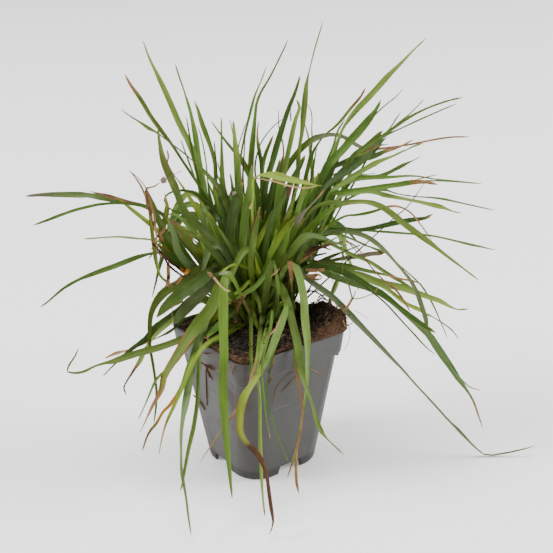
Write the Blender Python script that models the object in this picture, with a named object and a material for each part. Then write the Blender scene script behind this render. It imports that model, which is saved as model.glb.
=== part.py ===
"""Potted clump of ornamental grass in a square nursery pot.

Metres, +Z up. The origin is the centre of the pot's underside, on the surface that the pot stands on,
and the pot's sides are parallel to X and Y. The pot and the soil are turned from rounded squares. The
leaves were drawn by eye over one picture of the plant: each leaf is a short list of points (x, y, width)
in that picture's 553 x 553 frame, from the crown to the tip, and a distance of its tip towards the
viewer. SIGHT holds the viewpoint that turns such a point into a place beside the pot.
"""
import math

import bmesh
import bpy
import numpy as np

MM = 0.001

# Pot, millimetres
RIM_SIDE = 90.0
POT_HEIGHT = 100.0
COLLAR_HEIGHT = 16.0
COLLAR_FOOT_SIDE = 87.0
BODY_TOP_SIDE = 82.5
BODY_FOOT_SIDE = 64.0
RIM_CORNER = 9.0
FOOT_CORNER = 19.0
WALL = 1.4
FLOOR_LEVEL = 6.0
FLOOR_THICKNESS = 1.6
NOTCH_WIDTH = 17.0
NOTCH_HEIGHT = 6.0
NOTCH_OFFSETS = (1.0, 0.0, 0.0, -2.0)
PAD_RADIUS = 9.0
DRAIN_RADIUS = 3.5
DRAIN_REACH = 19.0
LUG_HEIGHT = 3.0

# Soil, millimetres
SOIL_GAP = 0.35
SOIL_LEVEL = 100.5
SOIL_OVERHANG = 3.4
SOIL_RISE_RIGHT = 11.5
SOIL_RISE_BACK = 9.5
SOIL_RISE_FRONT = 3.5
SOIL_DROP_LEFT = 5.0

# Leaves, millimetres
BLADE_THICKNESS = 0.8
BLADE_CLEARANCE = 1.55
BLADE_LEAST_WIDTH = 1.2
ROOT_WIDTH = 3.0
ROOT_REACH = 29.0
TUFT_PITCH = 1.4
TUFT_ROOT_WIDTH = 1.3
TUFT_FOOT = (1.8, 3.0)
FLOOR_CLEARANCE = 1.4
ROOT_WEIGHT = 400.0
ORDER_BIAS = 0.35
EDGE_SHARE = 0.75
STATIONS = 24

# How closely a leaf's solid follows its line: slack in millimetres, fewest and most stations.
LEAF_DETAIL = {"single": (0.35, 6, 14), "tuft": (0.5, 5, 10)}

# The viewpoint: bearing and height of the eye in degrees, its distance from the pot's middle in
# millimetres, the focal length in pixels and where the pot's middle lies in the picture.
SIGHT = {
    "bearing": -34.0,
    "height": 27.7,
    "distance": 867.0,
    "focal": 1226.6,
    "middle": (254.25, 390.0),
    "roll": -1.67,
    "centre": 276.5,
}

COLOURS = {
    "green": (0.145, 0.270, 0.040),
    "light": (0.235, 0.370, 0.100),
    "lime": (0.340, 0.470, 0.100),
    "dark": (0.060, 0.130, 0.018),
    "grey": (0.240, 0.335, 0.170),
    "tan": (0.500, 0.350, 0.170),
    "brown": (0.190, 0.075, 0.025),
}

# Each group: name, how it is built, the depth of its roots in the crown, and its leaves from the back
# to the front. A leaf: colour, distance of the tip towards the viewer, points from the crown outwards.
LEAF_GROUPS = [
    ("leaf_top", "single", (-34, -28), [
        ("green", -100, [(208, 205, 4), (204, 180, 4), (200, 165, 5), (196, 140, 6), (194, 128, 5),
                         (189, 107, 3), (186, 97.5, 1.5), (180, 79.5, 1), (175, 64, 0.6)]),
        ("green", -105, [(278, 185, 7), (290, 163, 6), (297, 153, 6), (303, 147, 5), (310, 141, 6),
                         (316, 138, 6), (322, 136, 4), (333, 134.5, 1.5), (345, 137, 3), (355, 144, 2.5),
                         (365, 149.5, 1), (390, 147.5, 1), (410, 144.5, 1), (422, 142, 2),
                         (450, 137.2, 1), (470, 137, 0.6)]),
        ("light", -80, [(206, 225, 4), (203, 200, 6), (199, 175, 7), (195, 158, 6), (190, 145, 6),
                        (180, 125, 6), (170, 102, 5.5), (160, 80, 4.5), (150, 60, 2),
                        (142.5, 40.5, 0.8)]),
        ("green", -88, [(236, 200, 3), (239, 175, 2), (241, 155, 2), (246, 130, 2.5), (251, 110, 3),
                        (254, 98, 2.5), (262, 77, 1.2), (266, 66.5, 0.6)]),
        ("green", -75, [(248, 215, 6), (250, 185, 6), (251, 160, 6), (253, 138, 5), (254.5, 122, 3),
                        (256, 108, 1.5), (258, 98, 1), (270, 77, 1.5), (280, 57, 1.5), (288.5, 39, 0.6)]),
        ("green", -60, [(297, 180, 5), (299, 150, 5), (301, 140, 5), (303, 120, 6), (305, 100, 6),
                        (306, 90, 5.5), (307, 80, 4), (309, 70, 1.5), (314, 50, 1), (322.5, 21.5, 0.5)]),
        ("light", -70, [(318, 185, 5), (328, 165, 4), (335, 150, 3), (340, 135, 1.5), (345, 125, 1.5),
                        (353, 114, 4), (366, 100, 5.5), (373, 93, 6), (387, 77, 5), (400, 64, 2.5),
                        (413, 51, 1), (426, 38.5, 0.5)]),
    ]),
    ("tuft_top_right", "tuft", (-30, -30), [
        ("dark", -90, [(255, 170, 2), (259, 148, 1), (266, 135, 1), (278, 122, 1), (283, 119, 0.6)]),
        ("green", -80, [(311, 150, 2), (312, 125, 1), (312, 113, 1), (310, 109, 1), (307, 103, 0.5)]),
        ("light", -75, [(311, 185, 4), (312, 163, 4), (310.5, 152, 4), (308, 136, 2), (304, 123, 0.6)]),
        ("green", -60, [(312, 175, 2), (314, 163, 2), (317, 148, 0.6)]),
        ("green", -90, [(312, 155, 3), (318, 144, 2), (325, 135, 1), (337, 125, 2.5), (347, 113, 3),
                        (357, 101, 2.5), (364, 92, 1.2), (366, 87, 0.6)]),
        ("green", -60, [(340, 155, 3), (360, 135, 2), (372, 118, 2), (380, 109.5, 1.5), (390, 101, 1),
                        (400, 93, 1), (402.5, 88.8, 0.5)]),
        ("lime", -80, [(360, 155, 3), (380, 138, 3), (392, 129, 3), (402, 121, 3), (413, 110, 1),
                       (424.3, 98.5, 0.5)]),
        ("green", -60, [(375, 145, 2), (391, 127, 1.5), (394, 122, 1.5), (400.5, 112, 0.5)]),
        ("light", -60, [(330, 176, 3), (345, 174, 2), (360, 174, 1.5), (376.5, 173, 0.5)]),
        ("green", -50, [(318, 190, 5), (327, 165, 5), (333, 147, 3), (338, 130, 2), (345, 119, 0.6)]),
        ("green", -90, [(345, 165, 3), (370, 145, 3), (398, 125, 3), (405, 120, 2.5), (420, 111.5, 1.5),
                        (434, 105.5, 0.8), (447, 101, 2), (463, 97.3, 0.5)]),
    ]),
    ("tuft_top_left", "tuft", (-27, -27), [
        ("green", -50, [(200, 185, 2), (194, 160, 2), (190, 138, 2), (186, 117, 0.6)]),
        ("lime", -40, [(209, 190, 2), (207, 170, 1.5), (204, 150, 1.5), (201, 136, 1), (198, 126, 0.5)]),
        ("green", -30, [(197, 182, 2), (195, 178, 2), (187, 157, 2), (181, 139, 0.5)]),
        ("green", -60, [(216.5, 195, 2.5), (216.5, 175, 2.5), (216, 165, 2.5), (214.5, 141, 0.5)]),
        ("green", -60, [(238, 190, 2), (236, 160, 1.2), (233, 135, 1), (229.5, 119, 0.5)]),
        ("green", -50, [(238, 180, 2), (238, 150, 1.5), (246, 123, 0.5)]),
        ("brown", -60, [(243, 180, 2), (244, 155, 1.5), (245, 135, 0.5)]),
        ("dark", -30, [(262, 185, 4), (261, 160, 4), (259, 150, 4), (257, 132, 2), (258.5, 121, 0.6)]),
        ("tan", -35, [(282, 175, 3), (283, 160, 1.5), (283, 145, 1.5), (279, 128, 1.2), (278, 109, 0.5)]),
        ("green", -30, [(262, 175, 4), (264, 160, 4), (267, 150, 3), (273.5, 135, 0.6)]),
        ("green", -70, [(217, 200, 3), (215, 170, 3), (214, 160, 3), (211, 148, 4), (207, 137, 5),
                        (203, 126, 5), (200, 117, 4.5), (197, 107, 3), (194.5, 100.5, 0.6)]),
        ("green", -70, [(258, 195, 6), (248, 172, 6), (243, 162, 5), (238, 155, 4), (232, 149, 2.5),
                        (221, 135, 1.5), (211, 121.5, 0.6)]),
    ]),
    ("leaf_upright", "single", (-28, -20), [
        ("green", -60, [(220, 218, 4), (210, 203, 4), (200, 187, 3), (190, 172, 2.5), (180, 157, 2),
                        (172, 144.5, 1.5), (160, 129, 4), (150, 115, 4.5), (140, 98, 3.5),
                        (131, 85.5, 1.5), (124.5, 74, 0.6)]),
        ("dark", -20, [(265, 190, 6), (272, 163, 6.5), (277, 145, 6), (282.5, 127, 4.5), (288, 110, 4),
                       (294.5, 94, 3), (300.5, 75, 0.6)]),
        ("light", -35, [(284, 175, 5), (286, 163, 5), (292, 135, 5), (296, 118, 4), (300, 105, 2),
                        (296.5, 99.5, 0.6)]),
        ("green", -25, [(315, 195, 6), (330, 162, 8), (338, 155, 8), (350, 141, 8), (360, 130, 7),
                        (370, 118, 5), (375, 111, 2), (381, 100, 0.6)]),
        ("green", -78, [(330, 185, 6), (350, 165, 7), (372, 145, 7), (380, 138, 6), (390, 133, 5),
                        (405, 126, 3.5), (425, 117, 3), (443, 109, 2), (456, 103.5, 0.5)]),
        ("light", -35, [(241, 215, 7), (239, 190, 8), (238, 178, 7), (237, 160, 7), (236, 150, 4.5),
                        (235, 140, 3.5), (233, 120.5, 0.6)]),
        ("green", -45, [(228, 240, 8), (225, 215, 8), (223, 190, 7), (222, 175, 5), (222, 160, 4),
                        (221.5, 145, 3), (221, 117, 0.6)]),
        ("green", -30, [(240, 232, 9), (228, 205, 9), (220, 190, 8), (212, 180, 7), (200, 167, 4.5),
                        (190, 157.5, 2.5), (170, 142, 1.5), (158, 133, 3), (150, 129, 4),
                        (140, 122, 3.5), (130, 115.5, 2), (121.5, 109, 0.6)]),
    ]),
    ("tuft_right", "tuft", (-18, -18), [
        ("green", -50, [(350, 160, 4), (365, 147, 5), (372, 141, 4), (383, 130.5, 0.6)]),
        ("dark", -65, [(330, 170, 4), (345, 163, 5), (372, 157, 5), (380, 153, 3), (390, 150, 1.5),
                       (400, 147, 1), (413.5, 139.5, 0.5)]),
        ("green", -60, [(350, 182, 4), (380, 176, 4), (390, 172, 4), (407, 163, 4), (415, 159, 2),
                        (420.5, 156, 0.5)]),
        ("dark", -40, [(395, 217, 1.2), (406, 208, 1.2), (414.5, 197, 1), (423.5, 183.5, 0.5)]),
        ("dark", -45, [(300, 252, 3), (312, 239, 4), (328, 232.5, 4), (345, 236, 2), (360, 242, 1.5),
                       (372, 248, 1.5), (385, 253, 1)]),
        ("green", -30, [(300, 256, 3), (313, 242, 4), (332, 234, 3), (350, 238, 2), (370, 247, 2),
                        (385, 252, 2), (398, 263.5, 1.5), (412, 276, 1.5), (421, 285, 2), (430, 299, 2),
                        (437, 313, 1.5), (447.7, 338, 0.5)]),
        ("dark", -35, [(312, 265, 3), (325, 262, 3), (345, 258, 3.5), (360, 256, 4.5), (370, 254, 4.5),
                       (380, 253, 4), (386, 250, 1)]),
        ("lime", -15, [(300, 268, 2.5), (325, 264, 3), (350, 270, 3), (370, 280, 3), (390, 291, 4),
                       (405, 303, 4), (420, 310, 4), (431, 317, 1)]),
        ("green", -55, [(340, 196, 4), (370, 191, 4), (385, 189.5, 4), (400, 194, 2), (418, 196, 1.2),
                        (440, 198.5, 2.5), (460, 202.5, 2), (480, 206.8, 1.2), (494.5, 210, 0.5)]),
        ("green", -60, [(320, 228, 3), (345, 228, 3), (362, 230, 2.5), (400, 233, 2.5), (430, 235.5, 2),
                        (450, 239.5, 2), (470, 244.5, 2.5), (480, 246.5, 2), (495, 249.5, 0.5)]),
        ("green", -45, [(330, 192, 4), (345, 183, 5), (360, 178, 5), (380, 177.5, 4.5), (400, 176.3, 3),
                        (415, 175.5, 1.5), (430, 178, 1.2), (481.5, 183.3, 0.5)]),
        ("light", -20, [(320, 240, 4), (335, 246, 4), (353, 255, 4), (370, 262, 4), (385, 272, 4),
                        (400, 281, 3), (412, 288, 1)]),
    ]),
    ("leaf_right", "single", (-17, -10), [
        ("light", -27, [(330, 195, 5), (345, 182, 6), (360, 172, 6), (370, 166, 6), (380, 161, 6),
                        (390, 157, 5), (400, 152.5, 4), (407, 149, 3), (415, 145.5, 1), (423, 143, 0.5)]),
        ("dark", -18, [(322, 192, 6), (345, 172, 8), (366, 158, 8), (373, 150, 9), (380, 142, 8),
                       (387, 137, 0.8)]),
        ("green", -10, [(300, 262, 4), (320, 263, 5), (345, 266, 6), (360, 269, 5), (375, 272.5, 4),
                        (385, 274.5, 3), (402, 279, 2.5), (418, 282, 2.5), (421, 283, 0.6)]),
        ("dark", -10, [(320, 232, 5), (340, 230, 4), (360, 230, 4), (375, 227.5, 4), (395, 223, 5),
                       (405, 221, 4.5), (415, 219.5, 3.5), (427, 217.5, 1.5), (433, 214, 0.5)]),
        ("light", 22, [(335, 200, 3.4), (350, 194, 5), (368, 191.5, 5), (385, 195, 6), (405, 199, 5),
                       (425, 203, 5), (443, 207.5, 5), (450, 210, 3), (462, 213, 0.6)]),
        ("light", 10, [(303, 272, 2.5), (318, 267, 3), (330, 272, 4), (345, 272, 6), (360, 275, 7),
                       (380, 283, 8), (400, 287, 7), (424, 295.4, 6), (444, 302.5, 5), (454, 308.7, 2.5),
                       (468.6, 308.7, 0.8)]),
        ("grey", 20, [(310, 268, 5), (330, 275, 6), (350, 282, 7), (375, 290, 7), (389, 299, 6),
                      (403, 311, 5), (417, 324, 6), (430, 336, 7), (440, 352, 8), (449, 364, 7),
                      (458, 378.5, 5), (463, 385.5, 3), (472, 398, 2), (477, 412, 1.5),
                      (482.4, 428, 0.5)]),
        ("grey", 45, [(300, 246, 5), (315, 237, 5), (330, 232, 4.5), (345, 231, 5), (365, 236, 5),
                      (380, 246, 5), (392, 258, 3), (402, 270, 2), (410, 280, 3.5), (417, 293, 4.5),
                      (422, 307, 5), (426, 320, 4), (427, 331, 0.8)]),
    ]),
    ("tuft_right_low", "tuft", (-8, -8), [
        ("green", 0, [(330, 196, 4), (345, 192, 5), (360, 190, 5), (380, 187, 5), (400, 184.5, 5),
                      (410, 182.5, 4), (425, 182, 2), (438, 184.8, 0.6)]),
        ("green", 20, [(305, 250, 3), (325, 229, 4), (345, 216, 3), (360, 214.5, 3), (375, 211, 3),
                       (388, 206.5, 2.5), (395, 206, 2.5), (405, 208.5, 1.5), (415, 217, 1.2),
                       (431.5, 239.5, 0.6)]),
        ("tan", 35, [(298, 262, 2), (308, 253, 2), (318, 249, 1.5), (330, 245, 1.5), (342, 242, 1.2),
                     (352, 243.5, 1.2), (360, 251, 1.2), (368, 263, 1.2), (384, 281, 1), (396, 290, 2),
                     (404, 301, 2), (410, 312, 0.7)]),
        ("dark", 10, [(300, 272, 3), (318, 264, 4), (332, 267, 5), (345, 272, 5), (365, 284, 6),
                      (385, 296, 5), (400, 308, 5), (415, 319, 4), (428, 328, 3), (436, 333, 1)]),
        ("dark", 40, [(302, 275, 2), (322, 268, 3), (342, 274, 2.5), (360, 283, 2), (372, 292, 2),
                      (385.5, 303, 1.8), (400, 319, 1.8), (414, 334, 1.8), (424, 345, 1.6),
                      (435, 354, 0.5)]),
    ]),
    ("tuft_left", "tuft", (-22.9, -22.9), [
        ("tan", -50, [(160, 222, 2), (150, 210, 2), (140, 206, 2), (128, 201.5, 3), (118, 198.5, 3.5),
                      (108, 196, 4), (98, 193, 2.5), (90, 190.8, 0.5)]),
        ("light", -70, [(190, 262, 3), (170, 246, 2), (152, 240, 2), (135, 238.3, 2), (118, 236.8, 1.2),
                        (100, 237.8, 1.5), (83, 239, 0.5)]),
        ("lime", -35, [(185, 262, 4), (170, 245, 4), (160, 233, 4), (151, 225, 4.5), (145, 220, 4),
                       (135, 212, 3), (125, 204, 2), (116, 197.5, 0.5)]),
        ("green", -30, [(225, 225, 4), (217, 212, 4), (208, 203, 3), (197.7, 195, 2.5), (187, 190.7, 2),
                        (178, 190.7, 1.5), (169.5, 193, 1), (164, 199.5, 2), (167.7, 206.6, 2),
                        (176.6, 212, 2), (187, 214, 2.5), (201, 211, 1)]),
        ("brown", -15, [(154, 245, 2), (156, 238, 1.5), (161, 232, 1.5), (166, 226, 1)]),
        ("green", -40, [(195, 265, 4), (175, 235, 3), (160, 212.5, 2.5), (145, 207, 2.5), (130, 204, 2),
                        (115, 203.3, 1.5), (100, 204.3, 2), (85, 207.5, 2.5), (72, 211, 3),
                        (60, 215.3, 3), (45, 221, 2), (33, 225.5, 0.5)]),
        ("lime", -25, [(190, 290, 3), (180, 289, 3), (172, 285, 3), (161, 277, 2), (157.5, 268, 3),
                       (155.5, 258, 4), (154, 247, 4), (152.5, 235, 4), (151, 222, 3.5), (149, 208, 2),
                       (145, 195, 1.5), (138, 181, 1), (130, 171.5, 0.5)]),
        ("lime", -10, [(175, 258, 4), (163, 242, 5), (161, 235, 6), (165, 220, 6), (167, 205, 4),
                       (165, 193, 0.6)]),
        ("light", -12, [(210, 255, 6), (200, 240, 6), (194, 231, 5), (185, 222, 5), (174.7, 214.4, 3.5),
                        (165, 214, 1)]),
    ]),
    ("leaf_left", "single", (-22, -14), [
        ("grey", -55, [(200, 262, 5), (180, 238, 4), (165, 216, 3), (150, 207.5, 3), (130, 203, 3),
                       (115, 200.5, 3), (103, 197.8, 4), (90, 195.5, 6), (75, 194.7, 4.8),
                       (60, 194.6, 4.3), (40, 194.8, 2), (25, 196.5, 0.5)]),
        ("green", -50, [(200, 275, 4), (180, 256, 3), (160, 252.5, 2.2), (148, 254.3, 2.5),
                        (135, 258, 4), (122, 263.2, 5.2), (112, 267, 5), (100, 271.2, 4),
                        (88, 275.8, 3.2), (77, 280.5, 1), (68, 285.5, 2.2), (60, 291, 2), (50, 300, 1),
                        (40, 307.5, 0.5)]),
        ("green", -8, [(190, 268, 6), (178, 255, 7), (172, 248, 7), (166, 236, 7), (160, 223, 6),
                       (155, 211, 6), (150, 199, 4), (146, 189, 2), (153, 186.5, 1.8),
                       (160, 182.5, 1.8)]),
        ("green", 0, [(215, 272, 7), (205, 260, 6), (195, 250, 6), (187, 238, 7), (180, 228, 5),
                      (171, 220, 1)]),
        ("green", -5, [(255, 262, 9), (238, 251, 9), (222, 242, 9), (205, 231, 9), (190.6, 219, 7),
                       (182, 206, 5), (176, 190, 6), (173, 183, 8), (166, 167, 6), (162, 155, 5),
                       (160, 145, 3), (157.5, 127.5, 0.6)]),
        ("dark", 5, [(200, 280, 8), (187, 266, 9), (175, 259, 9), (167, 253, 8), (160, 247, 6),
                     (155, 241, 2)]),
        ("grey", -4, [(215, 285, 7.6), (200, 272, 7.6), (187, 263.4, 7.4), (178, 250.6, 7),
                      (174, 235, 6.5), (170, 225, 5), (167.7, 218, 1.5)]),
        ("dark", 10, [(195, 315, 2), (184, 320, 2), (172, 330, 3), (165, 334, 3), (155, 338, 1.5),
                     (147, 342, 1.2), (135, 347, 1.5), (127, 350, 3), (115, 353.7, 4), (105, 358, 0.8)]),
        ("light", 12, [(205, 300, 5), (180, 315, 5), (163, 328, 5), (152, 339, 4), (146, 348, 4),
                       (141, 359, 5), (135, 368, 4), (130, 376, 3), (126, 382, 1.5), (123.5, 387, 1),
                       (126, 395, 0.5)]),
    ]),
    ("tuft_middle", "tuft", (-14, -14), [
        ("dark", -10, [(228, 265, 8), (230, 235, 10), (234, 210, 11), (239, 192, 8), (243, 182, 2)]),
        ("green", -5, [(272, 260, 6), (275, 235, 7), (277, 210, 7), (280, 185, 6), (283, 172, 1.2)]),
        ("green", 0, [(243, 265, 6), (243, 245, 7), (244, 225, 8), (247, 205, 8), (250, 185, 5),
                      (252, 165, 1.2)]),
        ("dark", 10, [(270, 225, 6), (284, 196, 6), (292, 180, 5), (300, 166, 3), (305, 155, 0.8)]),
        ("light", 12, [(293, 235, 4), (297, 215, 5), (301, 200, 5), (305, 188, 3), (308, 178, 0.8)]),
        ("green", 20, [(300, 240, 6), (312, 225, 6), (325, 213, 5), (340, 206, 3), (352, 203, 0.8)]),
        ("green", 18, [(283, 265, 7), (288, 245, 7), (293, 230, 8), (300, 218, 7), (308, 208, 4.5),
                       (316, 199, 3), (324, 189.5, 1)]),
        ("light", 25, [(305, 222, 3), (312, 210, 2.5), (325, 203, 2.5), (345, 203, 4), (360, 201.5, 5),
                       (370, 202.5, 5), (385, 208.5, 5), (400, 220.5, 6.5), (410, 228, 6), (425, 239, 5),
                       (445, 254.5, 2.5), (465, 270, 1.5), (478.5, 280.3, 0.5)]),
        ("lime", 30, [(252, 215, 3), (253, 190, 3), (254, 177, 4), (262, 174.5, 6), (272, 175, 8),
                      (285, 178, 8), (300, 181.5, 6), (310, 184, 3.5), (322, 185.5, 0.6)]),
    ]),
    ("leaf_middle", "single", (-14, -8), [
        ("lime", 30, [(240, 280, 7), (248, 262, 8), (255, 247, 6), (262, 234, 4), (268, 222, 2.5),
                      (273, 210, 0.6)]),
        ("green", 35, [(278, 272, 8), (284, 260, 8), (292, 250, 8), (301, 240, 7), (309, 235, 4.5),
                       (316, 236, 3), (325, 238.5, 3), (335, 243, 2), (348, 245, 0.8)]),
    ]),
    ("leaf_low", "single", (-13, -6), [
        ("green", 11, [(205, 268, 8), (187.6, 278, 9), (177, 285, 9), (164.6, 292, 9), (156, 302.5, 8),
                       (151, 315, 5.5), (149.6, 329, 4.5), (150, 347, 3.5), (153, 364, 2.8),
                       (156.6, 392.6, 2.5), (156, 407, 2), (154, 424, 0.5)]),
        ("dark", -10, [(195, 298, 6), (180.5, 309.6, 7), (170, 318, 8), (156, 328, 8), (147, 338, 6),
                       (134.5, 347, 4), (124, 355.5, 3), (115, 364, 1.5), (102.7, 377, 0.5)]),
        ("green", 15, [(215, 325, 6), (195, 334, 7), (177, 341, 7), (159, 347.5, 7), (141.6, 352, 7),
                       (124, 357.6, 6.5), (110, 362, 5), (97, 365, 2), (88.5, 369.6, 3), (76, 373, 3),
                       (68, 371.5, 1.5), (66, 369, 1), (72.6, 361, 1.3), (78.8, 348.4, 0.5)]),
        ("light", 10, [(215, 272, 10), (200, 281, 12), (190, 288, 12), (177, 297, 12), (164.6, 308, 8),
                       (156.6, 318, 1.5)]),
        ("grey", 16, [(220, 278, 9), (209, 285, 11), (195, 299, 12), (182, 313, 10), (174, 324, 3)]),
        ("grey", 20, [(292, 262, 4), (300, 272, 5), (312, 282, 6), (332.5, 297, 6.5), (352, 316.6, 7),
                      (371, 336, 6), (389, 355.5, 5), (403, 369.6, 4), (417, 385.5, 3),
                      (431.5, 401, 2.5), (445.6, 417, 2.5), (460, 431.5, 3.5), (472, 444, 2.5),
                      (487, 454.8, 1), (505.7, 452.7, 2.2), (523, 449, 1.5), (534.8, 445.6, 0.5)]),
    ]),
    ("tuft_front", "tuft", (-5, -5), [
        ("green", 50, [(268, 285, 5), (272, 281, 6), (280, 286, 8), (288, 305, 8), (293, 325, 8),
                      (298, 345, 7.5), (302.5, 375, 7), (307.8, 391, 4), (313, 406.7, 4),
                      (317.5, 422.6, 5), (323.7, 435, 5), (329, 440, 3), (344, 454.4, 1.8)]),
        ("light", 38, [(290, 262, 5), (296, 268, 6), (301, 283, 7), (304, 300, 8), (305, 320, 8),
                       (307.4, 340, 6), (307.4, 364, 3), (307, 385.5, 3), (304, 406.7, 2),
                       (300.7, 426, 2.5), (297, 447, 2), (291, 467, 1.5), (287.5, 477.4, 0.5)]),
        ("lime", 40, [(195, 355, 4), (180.5, 389, 4), (170, 405, 3), (163, 412, 3), (156, 424, 3),
                      (148.7, 433, 2), (142.5, 451, 0.5)]),
        ("green", 80, [(203, 335, 5), (199, 365, 4), (198, 389, 3.5), (196.5, 408.5, 4), (193, 430, 4.5),
                       (188.5, 449, 3.5), (185, 468.6, 3), (182, 484.5, 1.5), (180, 491.5, 0.5)]),
        ("green", 62, [(290, 300, 6), (293, 315, 5), (294, 335, 4), (295, 361, 3), (298, 380, 3),
                       (301.6, 400, 2.5), (302.5, 414, 2), (300.7, 430, 2), (297, 447, 2.5),
                       (296, 463, 2.5), (296.3, 481, 3), (299, 494, 0.5)]),
        ("light", 92, [(275, 300, 3), (269, 320, 4), (265, 335, 4), (260, 355, 4), (256.5, 374, 3),
                       (259, 384, 3), (260, 408.5, 3.5), (260, 435, 4), (261, 461.5, 4), (262, 488, 2.5),
                       (264.6, 516, 0.5)]),
    ]),
    ("leaf_front", "single", (-2, 4), [
        ("grey", 112, [(213, 300, 6), (208, 312, 8), (203.5, 325, 9), (196.5, 347, 8), (191, 371, 8),
                       (187, 396, 8), (183, 417, 6), (181, 438.5, 3.5), (181, 458, 3), (182, 474, 3.5),
                       (186, 497, 2.5), (188.5, 518, 2), (191, 535, 0.5)]),
        ("green", 42, [(222, 282, 6), (217, 290, 9), (212, 306, 12), (200, 322, 13), (187.6, 338, 12),
                       (177, 355.5, 10), (164.6, 375, 8), (161, 391, 7), (154, 403, 5), (147, 417, 3),
                       (139.5, 432, 0.6)]),
        ("green", 78, [(236, 285, 4), (230, 272, 7), (225, 276, 8), (223.4, 302.5, 10), (223.4, 329, 9),
                       (224, 355.5, 9), (222.7, 382, 9), (224, 408.5, 8), (225.7, 430, 6),
                       (228, 456, 4.5), (230, 475.6, 3), (232, 498.6, 0.6)]),
        ("light", 60, [(278, 290, 3), (275, 268, 2), (271.5, 257, 2), (270, 268, 6), (268, 280, 7.5),
                       (266, 293, 6.5), (263, 313.5, 5), (260, 333.6, 4.5), (256.5, 360, 3),
                       (252, 376.5, 2.5), (244, 398, 2), (228, 421, 1.5), (212, 444, 1.2),
                       (200, 462.4, 0.5)]),
        ("light", 110, [(283, 300, 3), (286, 306, 5), (284.6, 313.5, 6), (276.5, 336, 8), (267, 360, 6),
                       (257, 376, 5), (251, 385.5, 6), (242.5, 400, 9), (240, 417, 8), (240, 431.5, 6),
                       (246, 442, 3), (255, 451, 5), (262, 461.5, 4), (267, 477, 3), (269, 493, 4),
                       (271.7, 511, 3.5), (273, 523, 2), (269, 534, 0.5)]),
    ]),
]

# The leaves behind the crown lean away from the viewer in three fans. Each fan: its bearing from
# straight back in degrees, the spread of its leaves and where its shoot stands across the crown and
# towards the viewer.
BACK_FANS = [
    ("tuft_back_middle", 0.0, 44.0, 0.0, -39.0),
    ("tuft_back_left", -42.0, 44.0, -16.5, -35.8),
    ("tuft_back_right", 42.0, 44.0, 15.0, -35.5),
]
# Roots set by hand, as (across, towards) in the crown.
ROOTS = {
    ("leaf_left", 1): (-21.0, -31.0),
    ("leaf_left", 2): (-18.0, -29.5),
    ("leaf_right", 8): (9.5, -8.5),
    ("leaf_upright", 7): (0.5, -19.8),
    ("leaf_low", 5): (-4.6, -8.7),
    ("leaf_front", 1): (-9.8, -1.9),
    ("leaf_front", 2): (-5.0, 3.5),
    ("leaf_front", 3): (-1.0, 3.0),
    ("leaf_front", 4): (10.5, 0.0),
    ("leaf_front", 5): (11.0, 3.5),
}
BACK_LEAVES = 7
BACK_REACH = (78.0, 122.0)
BACK_RISE = (44.0, 70.0)
BACK_SIDE_LIMIT = 62.0

# A short new shoot that rises from the soil at the right: points and where it stands, millimetres.
SHOOT_POINTS = [(329, 308, 3), (331, 297, 3.5), (335, 287, 5.5), (338, 279, 4), (340, 272, 1)]
SHOOT_TOWARD = (-13.0, -13.0)
SHOOT_SIDES = 6


def clear_scene():
    for thing in list(bpy.data.objects):
        bpy.data.objects.remove(thing, do_unlink=True)


def material(name, colour, roughness):
    """One Principled material of the given colour."""
    made = bpy.data.materials.new(name)
    made.use_nodes = True
    shader = made.node_tree.nodes["Principled BSDF"]
    shader.inputs["Base Color"].default_value = (*colour, 1.0)
    shader.inputs["Roughness"].default_value = roughness
    shader.inputs["Metallic"].default_value = 0.0
    return made


def add_object(name, points, faces, finish):
    """A named object from points in millimetres, with its faces turned outwards."""
    mesh = bpy.data.meshes.new(name)
    mesh.from_pydata([tuple(float(c) * MM for c in p) for p in points], [], faces)
    shape = bmesh.new()
    shape.from_mesh(mesh)
    bmesh.ops.recalc_face_normals(shape, faces=shape.faces)
    if shape.calc_volume(signed=True) < 0:
        bmesh.ops.reverse_faces(shape, faces=shape.faces)
    shape.to_mesh(mesh)
    shape.free()
    mesh.materials.append(finish)
    made = bpy.data.objects.new(name, mesh)
    bpy.context.scene.collection.objects.link(made)
    return made


def viewpoint():
    """The eye and its right, up and forward directions, from SIGHT."""
    bearing = math.radians(SIGHT["bearing"])
    height = math.radians(SIGHT["height"])
    back = np.array([math.sin(bearing) * math.cos(height), -math.cos(bearing) * math.cos(height),
                     math.sin(height)])
    eye = np.array([0.0, 0.0, POT_HEIGHT / 2]) + back * SIGHT["distance"]
    right = np.array([math.cos(bearing), math.sin(bearing), 0.0])
    yaw = math.atan((SIGHT["middle"][0] - SIGHT["centre"]) / SIGHT["focal"])
    pitch = math.atan((SIGHT["middle"][1] - SIGHT["centre"]) / SIGHT["focal"])
    turn = np.array([[math.cos(yaw), -math.sin(yaw), 0], [math.sin(yaw), math.cos(yaw), 0], [0, 0, 1]])
    forward = turn @ -back
    right = turn @ right
    up = np.cross(right, forward)
    forward = forward * math.cos(pitch) + up * math.sin(pitch)
    up = np.cross(right, forward)
    roll = math.radians(SIGHT["roll"])
    level = right * math.cos(roll) + up * math.sin(roll)
    upright = up * math.cos(roll) - right * math.sin(roll)
    return eye, level, upright, forward


EYE, RIGHT, UP, FORWARD = viewpoint()
TOWARDS = np.array([math.sin(math.radians(SIGHT["bearing"])), -math.cos(math.radians(SIGHT["bearing"])), 0])
ACROSS = np.array([-TOWARDS[1], TOWARDS[0], 0])


def place(pixels, toward):
    """Points on the sight lines through the pixels, at the given distances towards the viewer."""
    pixels = np.asarray(pixels, float)
    sight = (FORWARD * SIGHT["focal"] + RIGHT * (pixels[..., :1] - SIGHT["centre"])
             - UP * (pixels[..., 1:2] - SIGHT["centre"]))
    along = (np.asarray(toward, float) - EYE @ TOWARDS) / (sight @ TOWARDS)
    return EYE + sight * along[..., None]


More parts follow.
